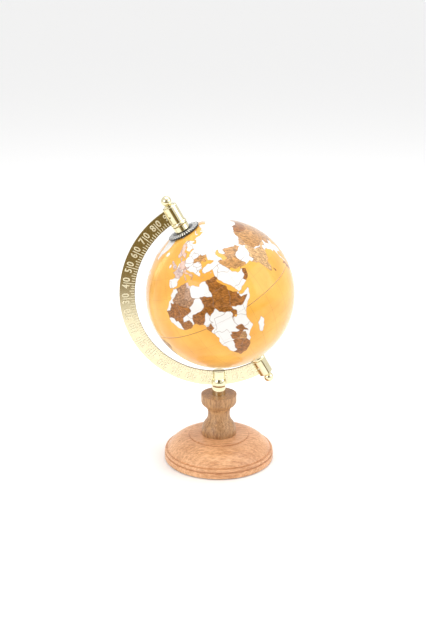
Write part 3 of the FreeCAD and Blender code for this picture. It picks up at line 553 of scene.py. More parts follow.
# -------------------------------------------------------------------- the world
# The map is printed on paper gores, pasted on the half shells and varnished.
# Coasts and borders are outlines in degrees east and north.
COASTS = {
    "africa": [(-5.9, 35.8), (-6.8, 34), (-9.3, 32.5), (-9.8, 31.4), (-9.7, 30), (-11.5, 28.3),
        (-13.2, 27.7), (-14.8, 25.5), (-16, 23.7), (-17.1, 20.9), (-16.3, 19), (-16.5, 16.2), (-17.5, 14.7),
        (-16.7, 12.4), (-15, 10.9), (-13.3, 9), (-13.2, 8.2), (-11.4, 6.8), (-9.2, 5.2), (-7.5, 4.4),
        (-5, 5.1), (-2, 4.8), (1, 5.9), (2.7, 6.4), (4.4, 6.3), (5.9, 4.3), (8.5, 4.6), (9.6, 3.9),
        (9.8, 2.3), (9.3, 0.6), (8.8, -0.7), (11, -3.7), (12.2, -5.8), (13.3, -8.8), (13.8, -10.8),
        (12.6, -13.3), (11.8, -16), (12.5, -18.5), (14.4, -22.5), (15, -26.3), (16.5, -28.8), (18.2, -32),
        (18.4, -34.1), (20, -34.8), (22.5, -34), (25.7, -34), (28.5, -32.6), (31, -29.8), (32.8, -27.5),
        (32.8, -25.9), (35.4, -24.3), (35.5, -22), (34.8, -19.9), (37, -17.9), (40.2, -16), (40.7, -14.5),
        (40.4, -10.8), (39.3, -8.5), (39, -6.2), (39.5, -4.3), (41.6, -1.7), (44.5, 1.8), (47.8, 4.4),
        (50, 8.1), (51.2, 10.5), (51.1, 11.9), (48, 11.1), (44.5, 10.4), (43.2, 11.6), (43, 12.7),
        (39.8, 15), (37.3, 18.6), (37.2, 21), (35.5, 23.9), (33.8, 27.2), (32.6, 29.9), (32.4, 31.2),
        (30, 31.4), (29, 30.9), (25, 31.6), (23.2, 32.2), (21.5, 32.9), (20, 32.1), (19, 30.3),
        (15.5, 31.6), (13.2, 32.9), (11.2, 33.2), (10.2, 34.3), (10.9, 35.7), (11.1, 37), (9.8, 37.3),
        (5, 36.8), (0, 36), (-2.2, 35.2)],
    "eurasia": [(-5.6, 36), (-6.4, 36.9), (-8.9, 37), (-9.4, 38.7), (-8.8, 41.5), (-9.2, 43.1),
        (-7.8, 43.7), (-4, 43.4), (-1.6, 43.4), (-1.2, 45.8), (-2.8, 47.5), (-4.7, 48.4), (-1.6, 48.7),
        (-1.5, 49.6), (0.2, 49.6), (1.7, 50.9), (4, 51.6), (5, 53.2), (8.3, 53.7), (8.2, 57), (10.6, 57.7),
        (10.3, 56), (9.6, 54.9), (11, 54), (14.2, 54), (18.5, 54.7), (21, 55.3), (21.2, 57.3), (24, 57.2),
        (23.5, 58.9), (27.5, 59.5), (30, 60), (28, 60.6), (23, 59.9), (21.4, 61), (21.3, 63), (25.3, 65),
        (22, 65.8), (21.3, 64.5), (17.5, 62), (17.2, 60.6), (18.7, 59.6), (16.6, 57.5), (15.8, 56.1),
        (12.9, 55.5), (11.3, 58.9), (8, 58.1), (5.5, 59), (5, 61.5), (9.5, 63.6), (13.5, 66.5),
        (16.5, 68.6), (21.5, 70.1), (25.8, 71.1), (31, 70.3), (35, 69.2), (41, 67), (38.5, 66.1),
        (33.5, 66.6), (34.9, 64.3), (38, 63.9), (40.5, 64.7), (43.9, 66.1), (43.5, 68.5), (46, 68),
        (53.5, 68.9), (60.5, 69), (66, 69), (69, 68.5), (66.8, 71), (72.5, 72.8), (73.5, 71), (73.5, 68),
        (75, 72.5), (80.5, 73.5), (87, 75.1), (98, 76.2), (104.3, 77.7), (113.5, 75.5), (106, 73.3),
        (123.5, 73), (129.5, 71.2), (140, 72.5), (150, 71.6), (160.5, 69.7), (170.5, 69.9), (180, 69),
        (190.3, 66.1), (185, 65), (179.3, 62.4), (170.3, 60), (163.2, 59.8), (162, 58), (163.2, 56),
        (156.8, 51), (155.7, 56), (157, 58), (163.5, 62), (155, 59.4), (143, 59.3), (135.2, 54.8),
        (141, 53), (140.5, 50), (135.5, 44.3), (132, 43.2), (129.7, 41.5), (127.5, 39.8), (129.4, 37),
        (129.2, 35.3), (126.5, 34.4), (126.5, 37.2), (125, 39.5), (121.5, 38.9), (122, 40.8), (118, 39),
        (119, 37.3), (122.5, 37.2), (119.3, 35), (121.9, 31.7), (121.8, 28.9), (119, 25.5), (116.5, 22.9),
        (110.5, 21.3), (108.2, 21.6), (105.8, 19), (109, 14.5), (109, 11.7), (105, 8.7), (105, 10.2),
        (102.5, 12), (100.9, 13.4), (99.3, 11), (100.5, 7.2), (103.4, 3.8), (104.2, 1.4), (101.3, 2.8),
        (100.3, 5.8), (98.3, 8.3), (98.6, 12), (97.7, 16.3), (95, 15.8), (94.3, 18.6), (92, 21.5),
        (90.3, 22.3), (88, 21.6), (86.8, 20.5), (82.3, 16.6), (80.2, 15.5), (80.1, 12.5), (79.8, 10.3),
        (77.5, 8.1), (76.3, 10), (74.6, 13.9), (73.2, 17), (72.7, 20.5), (70.8, 20.7), (69.1, 22.2),
        (67.3, 24.5), (66.5, 25.4), (61.6, 25.2), (57.3, 25.7), (56.4, 27.2), (52.5, 27.5), (50.2, 30),
        (48.5, 30), (48, 29.4), (48.8, 27.6), (50.3, 26.5), (51.2, 25.2), (51.8, 24), (54.3, 24.2),
        (56.3, 26.2), (56.6, 24.5), (58.8, 23.5), (59.8, 22.5), (57.8, 19), (55.3, 17.5), (52.2, 15.6),
        (48.5, 14), (45, 12.8), (43.4, 12.7), (42.7, 15.8), (40.8, 19.5), (39.1, 21.5), (38, 24.1),
        (35.5, 28), (34.9, 29.4), (34.3, 27.8), (32.7, 29.8), (32.3, 31.2), (34.2, 31.3), (35, 33),
        (35.9, 35.5), (36.1, 36.7), (34, 36.2), (30.6, 36.7), (28, 36.7), (26.3, 38.3), (26.8, 39.6),
        (29, 40.6), (29.1, 41.2), (31.5, 41.3), (35.1, 42), (38.5, 41), (41.6, 41.5), (39.5, 43.5),
        (37.5, 44.7), (38.5, 47.1), (35, 46.2), (36.5, 45.4), (33.8, 44.4), (32.6, 45.6), (33.5, 46.1),
        (31, 46.6), (29.6, 45.3), (28.6, 43.6), (27.7, 42.5), (28.8, 41.3), (26.2, 40.8), (24, 40.7),
        (22.9, 40.4), (23.9, 38), (22.8, 36.6), (21.3, 37.7), (19.4, 41), (19.4, 41.9), (16, 43.5),
        (14, 45.1), (13.7, 45.7), (12.3, 45.3), (12.5, 44), (14, 42.5), (16.2, 41.8), (18.4, 40.1),
        (16.9, 40.5), (16.6, 38.4), (15.8, 37.9), (15.9, 39.5), (13.8, 41.2), (11, 42.5), (9, 44.4),
        (7, 43.5), (4, 43.4), (3.1, 42.4), (0.5, 40.5), (-0.3, 39.3), (0.1, 38.7), (-2, 36.8),
        (-4.5, 36.6)],
    "north_america": [(-168, 65.6), (-166, 68.3), (-156.6, 71.3), (-141, 69.6), (-128, 70.4), (-115, 68.5),
        (-108, 68), (-95, 68), (-92, 71.5), (-86, 69.5), (-81.5, 68.5), (-87, 65), (-94, 61), (-94.5, 58.8),
        (-88, 56.5), (-82.3, 55), (-80, 51.3), (-79, 54.5), (-77, 57), (-78, 62.3), (-70, 61), (-65, 59.5),
        (-61.5, 56.5), (-56, 52.5), (-60, 50.3), (-66.5, 50.2), (-70.5, 47), (-65, 49), (-64.5, 46.3),
        (-61, 45.3), (-66, 43.6), (-67, 44.7), (-70.6, 43), (-70, 41.7), (-74, 40.5), (-76, 37),
        (-75.6, 35.2), (-81, 31.7), (-80.1, 26.5), (-81, 25.2), (-82.7, 28), (-84, 30), (-89.5, 30.2),
        (-90.5, 29.2), (-94.5, 29.4), (-97.3, 27.5), (-97.7, 22.5), (-95.5, 18.6), (-91.5, 18.6),
        (-90.3, 21), (-87, 21.4), (-88.3, 16), (-83.3, 15), (-83.7, 11), (-81, 8.9), (-79.5, 9.5),
        (-77.3, 8.5), (-77.8, 7.2), (-80, 7.4), (-83, 8.3), (-85.8, 10.5), (-87.6, 13), (-92.2, 14.5),
        (-96, 15.7), (-101.5, 17.7), (-105.5, 20.4), (-105.8, 22.8), (-109.4, 26), (-112.9, 30.5),
        (-114.7, 31.7), (-112, 27.5), (-109.5, 23), (-112.2, 25), (-115, 28), (-117.1, 32.5),
        (-120.6, 34.6), (-123.8, 39.2), (-124.2, 43), (-124, 46.5), (-123, 48.8), (-128, 51.5),
        (-130.5, 54.7), (-134, 58), (-140, 59.8), (-148, 60.2), (-153, 58), (-163, 54.8), (-158, 57.5),
        (-162, 59), (-166, 61.7), (-161, 64.3)],
    "south_america": [(-77.3, 8.5), (-75.5, 10.7), (-72, 12.2), (-71.5, 10.9), (-68, 10.8), (-62, 10.6),
        (-60, 8.5), (-57, 6), (-51.7, 4.2), (-50, 0), (-44.5, -2.5), (-39.5, -3), (-35.3, -5.3),
        (-34.9, -8.2), (-38.5, -13), (-39.2, -17.5), (-41, -21.9), (-44.5, -23.1), (-48.5, -26.2),
        (-50, -29.5), (-53.4, -33.8), (-58.4, -34), (-57, -36.5), (-58, -38.2), (-62.2, -39), (-65, -41),
        (-63.7, -42.7), (-67.3, -45.8), (-65.8, -47.9), (-69, -51), (-68.4, -52.5), (-65.2, -54.7),
        (-69, -55.4), (-74.5, -52), (-75.5, -47), (-73.5, -42), (-73.5, -37.2), (-71.5, -32), (-70.5, -25),
        (-70.3, -18.4), (-76, -14.3), (-79.8, -7), (-81.3, -4.8), (-80, -3), (-80.8, -1), (-80, 1),
        (-77.3, 4), (-77.8, 7.2)],
    "australia": [(114, -22), (113.6, -26), (115.2, -34), (118, -35), (123.5, -33.9), (131.2, -31.5),
        (135.8, -34.8), (140, -37.9), (146.5, -38.9), (150, -37.3), (153.2, -30), (153, -25), (149, -20.3),
        (146, -18.5), (145.3, -15), (142.6, -10.8), (141, -16), (139.5, -17.5), (135.7, -15),
        (136.8, -12.2), (132.5, -11.4), (130, -14), (126.5, -14), (122.3, -18), (118.5, -20.3)],
    "antarctica": [(-180, -78), (-150, -77), (-120, -74), (-100, -73), (-75, -73), (-62, -64.5), (-61, -70),
        (-62, -75), (-40, -78), (-28, -76), (-10, -71), (10, -70), (30, -69.5), (50, -67), (70, -69),
        (80, -67.5), (100, -66), (120, -66.5), (140, -66.7), (160, -70), (165, -77), (180, -78), (180, -92),
        (-180, -92)],
    "greenland": [(-73, 78.3), (-60, 82), (-32, 83.5), (-17, 80), (-20, 74.5), (-22.5, 70.3), (-33, 67.7),
        (-40, 65), (-43.5, 60), (-48.5, 61), (-53.5, 66.8), (-52, 69.5), (-55.5, 72), (-60, 75.8),
        (-68, 76)],
    "great_britain": [(-5.5, 50.1), (-3.5, 50.3), (1.3, 51.2), (1.6, 52.7), (0.2, 53.3), (-1.5, 55),
        (-2, 57.6), (-3.2, 58.6), (-5, 58.5), (-5.8, 56.5), (-4.9, 54.8), (-3.2, 54), (-4.5, 53.2),
        (-5.2, 51.8), (-3, 51.4)],
    "ireland": [(-6.2, 53.5), (-6.4, 52.2), (-10, 51.6), (-9.8, 54.2), (-7.4, 55.3), (-5.6, 54.5)],
    "iceland": [(-22.5, 64), (-18.7, 63.4), (-13.7, 64.9), (-16, 66.4), (-22.5, 66.3), (-24, 65.3)],
    "svalbard": [(11, 79), (17, 76.6), (27, 79.5), (18, 80.5)],
    "novaya_zemlya": [(52, 71), (57, 70.7), (56, 73.5), (68, 76.8), (60, 76.2), (54, 74)],
    "sicily": [(12.5, 37.9), (15.6, 38.2), (15.1, 36.7)],
    "sardinia": [(8.3, 38.9), (9.8, 39.2), (9.6, 43), (8.5, 42.2)],
    "crete": [(23.5, 35.4), (26.3, 35.2), (24.8, 34.8)],
    "cyprus": [(32.3, 34.8), (34.5, 35.7), (33.4, 34.6)],
    "madagascar": [(49.3, -12), (50.4, -15.7), (47.2, -24.9), (45.2, -25.5), (43.6, -23.5), (44.3, -20),
        (44.3, -16.2), (47.5, -14.7)],
    "sri_lanka": [(79.8, 8.8), (80.2, 9.8), (81.8, 7.3), (80.5, 6), (79.9, 7)],
    "honshu": [(130, 31.3), (131.9, 33.6), (135.8, 33.5), (140, 35.1), (141.9, 39.5), (140.3, 41),
        (139.5, 38.5), (136.8, 36.9), (132.5, 35.4), (129.8, 33.3)],
    "hokkaido": [(140.3, 41.8), (145.4, 43.2), (141.8, 45.4), (140.5, 43.2)],
    "sakhalin": [(142, 46.2), (143.5, 49), (142.7, 54.2), (141.9, 52.5)],
    "taiwan": [(120.2, 23), (121, 25.2), (121.6, 24), (120.9, 22)],
    "hainan": [(108.7, 19.3), (110.8, 20), (109.5, 18.3)],
    "luzon": [(120, 16.5), (120.9, 18.5), (122.3, 18.3), (122, 15.5), (124, 13), (120.8, 13.9)],
    "mindanao": [(122, 7), (125.5, 9.8), (126.5, 7), (125.4, 5.7)],
    "borneo": [(109, 1.5), (111.5, 2.6), (115.5, 5.5), (116.9, 6.9), (119.2, 5.1), (117.6, 1),
        (116.2, -3.8), (111.5, -3.4), (109.8, -1)],
    "sumatra": [(95.3, 5.6), (98.3, 4.1), (103.8, -1), (106, -3), (105.8, -5.8), (102, -3.9), (98.6, 1.5)],
    "java": [(105.3, -6.8), (108.7, -6.7), (114.4, -7.7), (114.4, -8.7), (108, -7.8)],
    "sulawesi": [(119.4, -5.4), (120.5, -2.7), (123.3, -1), (120.1, 0.5), (125.1, 1.6), (121, 1.2),
        (119.8, 0), (119, -3.4)],
    "new_guinea": [(131, -0.8), (134, -0.8), (135.2, -3.3), (141, -2.6), (147.5, -6), (150.5, -10.4),
        (147, -9.5), (143, -9), (138, -8.3), (138, -5.6), (133, -4)],
    "tasmania": [(145, -40.8), (148.3, -40.9), (147.4, -43.5), (146, -43.3)],
    "north_island": [(172.8, -34.5), (175.5, -36.7), (178.4, -37.7), (176.9, -39.7), (175.2, -41.6),
        (173.8, -39.3), (174.7, -37.5)],
    "south_island": [(172.8, -40.6), (174.2, -41.6), (171.2, -44.4), (170.5, -46), (168.4, -46.6),
        (166.5, -45.9), (170.5, -43)],
    "baffin": [(-62, 66), (-66, 62.5), (-73, 65), (-78, 70), (-88, 72.5), (-81, 73.7), (-72, 71.5)],
    "victoria": [(-117, 69.5), (-102, 69), (-106, 73), (-117, 72.8)],
    "ellesmere": [(-90, 76.5), (-78, 76.5), (-64, 81.5), (-70, 83), (-90, 81)],
    "newfoundland": [(-59.3, 47.7), (-53, 46.8), (-55.8, 51.5)],
    "cuba": [(-84.8, 21.9), (-80.5, 23.1), (-74.3, 20.2), (-77.5, 19.9), (-82, 22.4)],
    "hispaniola": [(-74.4, 18.5), (-72.8, 19.9), (-68.5, 18.5), (-71.5, 17.8)],
}
LAKES = [
    [(47, 45), (49, 46.3), (51.5, 47), (53, 46.5), (51.2, 44.6), (52.8, 42.5), (53.5, 40), (53.9, 37.2),
        (51, 36.8), (48.9, 38.2), (49.5, 40.5), (47.5, 42.8)],
    [(32, 0.3), (34, 0), (33.5, -2), (32, -2.3), (31.7, -1)],
    [(-92, 46.7), (-84.5, 46.5), (-88, 48.5)],
    [(-88, 41.8), (-86.3, 42), (-85, 45.8), (-87.5, 45)],
    [(-84, 45.8), (-81.5, 43.3), (-80, 44.8)],
]

# Countries are painted in this order, each up to the coast. Letters that share
# a colour keep neighbours apart, so a border line shows between them.
COUNTRIES = [
    ("w", [(-9.5, 37), (-7.4, 37.1), (-7, 38), (-7.3, 39.5), (-6.6, 41.5), (-8.2, 42), (-9.5, 42)]),
    ("p", [(-2, 43.2), (3.2, 42.3), (3.2, 41.5), (7.6, 43.5), (7, 45.9), (6.1, 46.3), (7.6, 47.6),
        (8.2, 49), (6.2, 49.5), (4.2, 50), (2.5, 51.2), (1, 51.5), (-6, 49), (-4, 45)]),
    ("P", [(7.6, 43.5), (7, 45.9), (10.4, 46.8), (13.7, 46.5), (13.9, 45.6), (13, 44), (19, 41), (18, 36),
        (11, 36), (7.5, 38)]),
    ("P", [(6, 51), (6.8, 54.5), (8.5, 54.9), (11, 55), (14.3, 54.5), (14.6, 51.5), (12.3, 50.3),
        (13.8, 48.7), (13, 47.6), (10.2, 47.4), (7.6, 47.6), (8.2, 49), (6.2, 49.5)]),
    ("w", [(2.5, 51.2), (4.2, 50), (6.2, 49.5), (6, 51), (6.8, 54.5), (3, 53)]),
    ("p", [(8, 54.9), (8.5, 54.9), (12.5, 54.7), (12, 58.2), (7.5, 58)]),
    ("p", [(4, 58), (11.3, 58.9), (12.3, 61), (12.1, 63.5), (14.5, 66), (18.3, 68.5), (20.5, 69.2),
        (25.7, 68.9), (28.7, 69.8), (31, 69.6), (32, 72), (5, 64)]),
    ("P", [(11.3, 58.9), (12.3, 61), (12.1, 63.5), (14.5, 66), (18.3, 68.5), (20.5, 69.2), (23.7, 67.5),
        (24.1, 65.8), (22, 64), (19, 60), (14, 54.8), (12.5, 55.3)]),
    ("V", [(20.5, 69.2), (25.7, 68.9), (28.7, 69.8), (30, 67.7), (29.5, 64.5), (31.3, 62.5), (28, 60.2),
        (22, 59), (20, 62), (22, 64), (24.1, 65.8), (23.7, 67.5)]),
    ("p", [(-12, 49), (-5.5, 49.5), (2, 50.8), (3, 54), (-2, 60), (-9, 59), (-5.8, 55)]),
    ("w", [(-12, 51), (-5.8, 51.8), (-5.3, 54.8), (-7, 56), (-12, 55)]),
    ("w", [(14.3, 54.5), (14.6, 51.5), (15, 50.9), (18.8, 49.6), (22.6, 49.1), (24, 50.8), (23.6, 52.6),
        (23.3, 54.2), (19.6, 54.8), (16, 55.5)]),
    ("V", [(12.3, 50.3), (14.6, 51.5), (18.8, 49.6), (22.6, 49.1), (22.2, 48.2), (17, 47.8), (13.8, 48.7)]),
    ("p", [(10.4, 46.8), (10.2, 47.4), (13, 47.6), (13.8, 48.7), (17, 47.8), (16, 46.8), (13.7, 46.5)]),
    ("w", [(20.3, 46.2), (22.2, 48.2), (24.9, 47.8), (27.5, 48.4), (28.2, 45.5), (30, 45), (29, 43.7),
        (24, 43.7), (22.7, 44.3)]),
    ("V", [(22.7, 44.3), (24, 43.7), (29, 43.7), (28.3, 42), (26, 41.5), (22.9, 41.4)]),
    ("w", [(19, 39.9), (21, 40.9), (22.9, 41.4), (26, 41.5), (26.4, 40.6), (28, 36), (24, 34), (20, 37)]),
    ("C", [(22.2, 48.2), (24, 50.8), (24, 51.7), (30.5, 51.4), (34, 52.3), (35.5, 50.4), (40, 49.6),
        (38.3, 47), (36, 44), (32, 44), (29.5, 45.3), (28.2, 45.5), (30, 46.5), (27.5, 48.4),
        (24.9, 47.8)]),
    ("w", [(23.3, 54.2), (23.6, 52.6), (24, 51.7), (30.5, 51.4), (32, 53.5), (28.2, 56), (26, 55.5)]),
    ("N", [(-2.2, 36.5), (8.6, 38), (8.3, 36.9), (8.4, 35), (7.5, 33.8), (9.1, 32.1), (9.5, 30.2),
        (9.9, 26.5), (10, 24.5), (12, 23.5), (5.8, 19.5), (3.2, 19), (1.2, 21.1), (-4.8, 25), (-8.7, 27.3),
        (-8.7, 28.7), (-5.5, 29.9), (-3.6, 31), (-1.2, 32.2), (-1.8, 34.3)]),
    ("b", [(-4.8, 25), (1.2, 21.1), (3.2, 19), (4.2, 19.1), (4.2, 16.5), (3.5, 15.4), (0.2, 15), (-2, 14.2),
        (-4, 13.3), (-5.5, 10.4), (-8, 10.2), (-9, 12.3), (-11.4, 12.2), (-12.2, 14.7), (-11.5, 15.6),
        (-5.4, 15.5), (-5.6, 16.5), (-6.5, 24.9)]),
    ("B", [(-8.7, 27.3), (-4.8, 25), (-6.5, 24.9), (-5.6, 16.5), (-5.4, 15.5), (-11.5, 15.6), (-12.2, 14.7),
        (-14.5, 16.6), (-16.5, 16.1), (-18.5, 16), (-18.5, 21), (-17, 20.9), (-13, 21.3), (-13, 23),
        (-12, 23.5), (-12, 26), (-8.7, 26)]),
    ("p", [(8.3, 36.9), (8.4, 35), (7.5, 33.8), (9.1, 32.1), (9.5, 30.2), (10.2, 31.5), (11.5, 33.1),
        (13, 34), (11, 38.3), (8.6, 38)]),
    ("w", [(3.5, 15.4), (4.2, 16.5), (4.2, 19.1), (5.8, 19.5), (12, 23.5), (15, 23), (15.5, 19.9),
        (15.5, 16.9), (13.5, 14), (13.6, 13.7), (10, 13.3), (7.8, 13.3), (4.1, 13.5), (3.6, 11.7),
        (2.4, 11.9), (0.9, 13.3), (0.2, 15)]),
    ("B", [(2.7, 6), (2.8, 9), (3.6, 11.7), (4.1, 13.5), (7.8, 13.3), (10, 13.3), (13.6, 13.7),
        (14.2, 12.5), (14.6, 11.5), (12.2, 8.5), (11.3, 6.6), (8.8, 4.8), (8.5, 3), (4, 3)]),
    ("b", [(-8.6, 4), (-7.5, 4.4), (-8.3, 6.5), (-8, 10.2), (-5.5, 10.4), (-2.8, 9.8), (-2.9, 11),
        (-0.1, 11.1), (0.5, 8.5), (1.2, 5.8), (1.2, 4)]),
    ("w", [(-12.2, 14.7), (-11.4, 12.2), (-9, 12.3), (-8, 10.2), (-8.3, 6.5), (-7.5, 4), (-12, 5),
        (-19, 10), (-18.5, 16), (-16.5, 16.1), (-14.5, 16.6)]),
    ("B", [(15, 23), (16, 23.4), (24, 19.5), (24, 15.7), (22, 12.8), (22.9, 11), (19, 9), (15.5, 7.5),
        (14.2, 10), (14.6, 11.5), (14.2, 12.5), (13.6, 13.7), (15.5, 16.9), (15.5, 19.9)]),
    ("B", [(25, 33), (25, 22), (38, 22), (35.5, 27.5), (34.9, 29.5), (34.2, 31.6), (34, 33)]),
    ("b", [(25, 22), (25, 20), (24, 19.5), (24, 15.7), (22, 12.8), (22.9, 11), (24, 8.7), (27.5, 5),
        (31, 3.7), (34, 4.3), (34.1, 8.5), (34.3, 10.7), (36.1, 12.8), (37, 17), (38.6, 18.1), (40, 19),
        (38, 22)]),
    ("B", [(34.1, 8.5), (34.3, 10.7), (36.1, 12.8), (37, 17), (38.6, 18.1), (43.3, 12.5), (42.8, 11),
        (43, 9.2), (48, 8), (45, 5), (42, 4), (39.5, 3.5), (36, 4.4), (34.5, 6.7), (33, 7.8)]),
    ("w", [(41, -1.7), (41, 3.5), (42, 4), (45, 5), (48, 8), (43, 9.2), (42.8, 11), (43.3, 12.5), (53, 13),
        (53, 5), (43, -3)]),
    ("w", [(12.2, -6), (13, -4.5), (16, -4), (18, 4), (22.5, 4.2), (27.4, 5.1), (31, 3.7), (30.8, 3.5),
        (31.3, 2.2), (29.6, -1), (29.3, -4.4), (30.8, -8.3), (28.4, -8.5), (29.8, -12.2), (29.8, -13.4),
        (24, -11), (22, -11.2), (21.8, -7.3), (17, -7.3), (16.5, -5.9)]),
    ("b", [(29.6, -1.3), (31.3, 2.2), (30.8, 3.5), (34, 4.2), (35, 1.2), (34, 0), (34, -1)]),
    ("B", [(8.5, 1), (11.3, 1), (13.3, 2.2), (14.5, 1.3), (14.4, -1.9), (12.5, -2.4), (11.1, -4), (9, -4)]),
    ("V", [(8.5, 4.4), (11.3, 6.6), (12.2, 8.5), (14.6, 11.5), (15.5, 7.5), (14.5, 5), (16, 2), (13.3, 2.2),
        (9.8, 2.2), (8.5, 3)]),
    ("V", [(30.8, -8.3), (29.3, -4.4), (30.5, -2.4), (30.5, -1), (34, -1), (37.6, -3.1), (39.2, -4.7),
        (41, -5), (41, -10.5), (37.5, -11.6), (34.6, -11.5), (34, -9.5)]),
    ("w", [(11.5, -17.3), (18.5, -17.4), (21, -18.3), (21, -22), (20, -22), (20, -28.5), (17.4, -28.7),
        (15, -29), (10, -20)]),
    ("B", [(22, -13), (24, -12.9), (24, -11), (29.8, -13.4), (29.8, -12.2), (28.4, -8.5), (30.8, -8.3),
        (34, -9.5), (35, -14.5), (35.2, -17), (34.5, -16), (33, -14), (30.4, -15.6), (27, -17.9),
        (25.3, -17.8), (23.3, -17.5), (22, -16.2)]),
    ("b", [(21, -18.3), (25.3, -17.8), (27.5, -20.5), (29.4, -22.2), (27, -23.7), (25.5, -25.7),
        (22.8, -25.5), (20.8, -26.8), (20, -24.8), (20, -22), (21, -22)]),
    ("C", [(25.3, -17.8), (27, -17.9), (30.4, -15.6), (33, -16.5), (32.8, -20), (31.3, -22.4),
        (29.4, -22.2), (27.5, -20.5)]),
    ("B", [(16.5, -28.6), (20, -28.5), (20, -24.8), (20.8, -26.8), (22.8, -25.5), (25.5, -25.7),
        (27, -23.7), (29.4, -22.2), (31.3, -22.4), (32, -26), (33.5, -27), (33, -31), (28, -36), (18, -36),
        (15, -29)]),
    ("w", [(42, 12), (53, 12), (53.3, 16.7), (52, 19), (47, 17), (43.5, 17.4), (42, 16.5)]),
    ("B", [(52, 19), (55, 20), (55.2, 22.7), (56.3, 24.5), (56.5, 27), (62, 23), (56, 15), (53.3, 16.7)]),
    ("w", [(38.8, 33.4), (41, 34.4), (41.3, 36.5), (42.4, 37.1), (44.8, 37.2), (45.4, 35.9), (46, 33),
        (47.8, 31), (48.6, 29.9), (46.5, 29), (44.7, 29.2), (42, 31.1), (39.2, 32.1)]),
    ("V", [(35.5, 36), (36.6, 36.8), (42.3, 37.2), (41.3, 36.5), (41, 34.4), (38.8, 33.4), (37, 31.5),
        (35.2, 29.4), (34.2, 31.3), (34.5, 35)]),
    ("C", [(44.8, 39.7), (48, 39.6), (48.9, 38.3), (50, 38.5), (54, 37.3), (57, 38.2), (61.2, 36.6),
        (60.6, 34), (61, 31.5), (60.9, 29.8), (63, 27.2), (61.6, 24.5), (57, 24.8), (52, 26.5),
        (48.6, 29.9), (47.8, 31), (46, 33), (45.4, 35.9), (44.8, 37.2)]),
    ("w", [(61.2, 36.6), (61.2, 35.6), (64.5, 36.8), (68, 37), (71.5, 38), (74.5, 37.2), (71, 35.5),
        (70, 33.5), (69, 31.7), (66.4, 29.9), (60.9, 29.8), (61, 31.5), (60.6, 34)]),
    ("C", [(53, 41), (53.5, 37.3), (57, 38.2), (61.2, 36.6), (61.2, 35.6), (64.5, 36.8), (68, 37),
        (71.5, 38), (70.5, 41), (68, 41), (66.5, 42.5), (62, 43.5), (58.5, 45.5), (56, 45), (56, 41.3),
        (52.5, 42)]),
    ("V", [(47, 48), (50, 51.5), (61, 51), (62, 54), (69, 55.2), (77, 54), (80, 51), (87, 49.2), (82, 45.3),
        (80, 42.2), (74, 43), (70.5, 42), (68, 41), (66.5, 42.5), (62, 43.5), (58.5, 45.5), (56, 45),
        (56, 41.3), (52.5, 42), (51, 45), (53, 46.8), (49, 46.3)]),
    ("T", [(68.2, 23.5), (71, 24.5), (70, 27.8), (73.5, 30), (74.5, 32), (74, 34.5), (78, 35.5), (79, 32.5),
        (81, 30.2), (80.1, 28.8), (84, 27.4), (88.1, 26.5), (88.1, 27.9), (92, 27.8), (97, 28.2), (95, 26),
        (94, 24), (92.3, 24), (92, 25.1), (89.8, 25.3), (88.2, 24.3), (89, 21), (85, 18), (81, 9.9),
        (79.3, 9), (78, 6), (70, 18), (66, 23)]),
    ("B", [(79.3, 9.9), (82.5, 10), (82.5, 5), (79.3, 5)]),
    ("w", [(92.3, 21), (93.3, 24), (97.4, 28.3), (98.7, 27.5), (97.7, 24), (101.2, 21.6), (100, 20.3),
        (97.8, 18.5), (98.9, 16), (98.2, 14), (98.8, 10), (96, 10), (93, 18)]),
    ("w", [(102.1, 22.4), (105.3, 23.3), (108, 21.5), (110, 18), (111, 12), (105, 8), (102.8, 11.8),
        (102.4, 13.5), (105.5, 14.5), (104.7, 16.5), (102, 18), (100.6, 19.5), (101.2, 21.6)]),
    ("C", [(73.8, 39.5), (80, 42.2), (82, 45.3), (87, 49.2), (91, 45.2), (96, 42.8), (105, 41.6),
        (111.5, 43.7), (116, 46.5), (120, 47), (117, 49.6), (120, 52.7), (123.6, 53.5), (126, 51.5),
        (131, 47.7), (134.7, 48.4), (131, 45), (131, 42.9), (128, 42), (124.5, 40), (121, 39), (124, 32),
        (122, 24), (112, 18), (108, 18), (108, 21.5), (105.3, 23.3), (102.1, 22.4), (101.2, 21.6),
        (97.7, 24), (98.7, 27.5), (97.4, 28.3), (92, 27.8), (88.8, 27.8), (86, 28), (81, 30.2), (79, 32.5),
        (78, 35.5), (74.5, 37.2)]),
    ("b", [(87.8, 49.2), (92, 50.8), (98, 50.5), (98.3, 52), (102, 51.4), (107, 50), (113, 49.6),
        (116.7, 49.8), (120, 47), (116, 46.5), (111.5, 43.7), (105, 41.6), (96, 42.8), (91, 45.2)]),
    ("w", [(124.5, 40), (128, 42), (131, 43), (131, 34), (124, 33)]),
    ("P", [(129, 30), (142, 34), (148, 44), (141, 46), (138, 41), (129, 34)]),
    ("p", [(115, 5), (127, 4), (127, 19), (119, 19)]),
    ("b", [(94, 6), (99, 5), (104, 1), (107, -5.9), (104, -7), (96, 0)]),
    ("N", [(108, 1.5), (111, 1), (115, 2), (117.5, 4), (119, 1), (117, -5), (108, -4)]),
    ("B", [(141, -1), (152, -5), (152, -11), (141, -9.5)]),
    ("b", [(129, -31), (129, -13), (138, -10), (138, -36), (132, -36)]),
    ("T", [(138, -26), (138, -16), (143, -9), (155, -24), (154, -29), (141, -29), (141, -26)]),
    ("B", [(141, -34), (141, -29), (154, -28), (151, -38), (147, -36)]),
    ("B", [(-125, 49), (-95, 49.2), (-83, 46), (-82.5, 42), (-79, 43.3), (-75, 45), (-71, 45.2),
        (-69, 47.3), (-67, 45), (-60, 40), (-78, 24), (-97, 25.9), (-101, 29.8), (-106, 31.8), (-111, 31.3),
        (-117, 32.6), (-128, 40)]),
    ("b", [(-141, 71), (-141, 60.2), (-135, 59.7), (-130, 55.5), (-132, 54), (-170, 52), (-172, 66),
        (-160, 73)]),
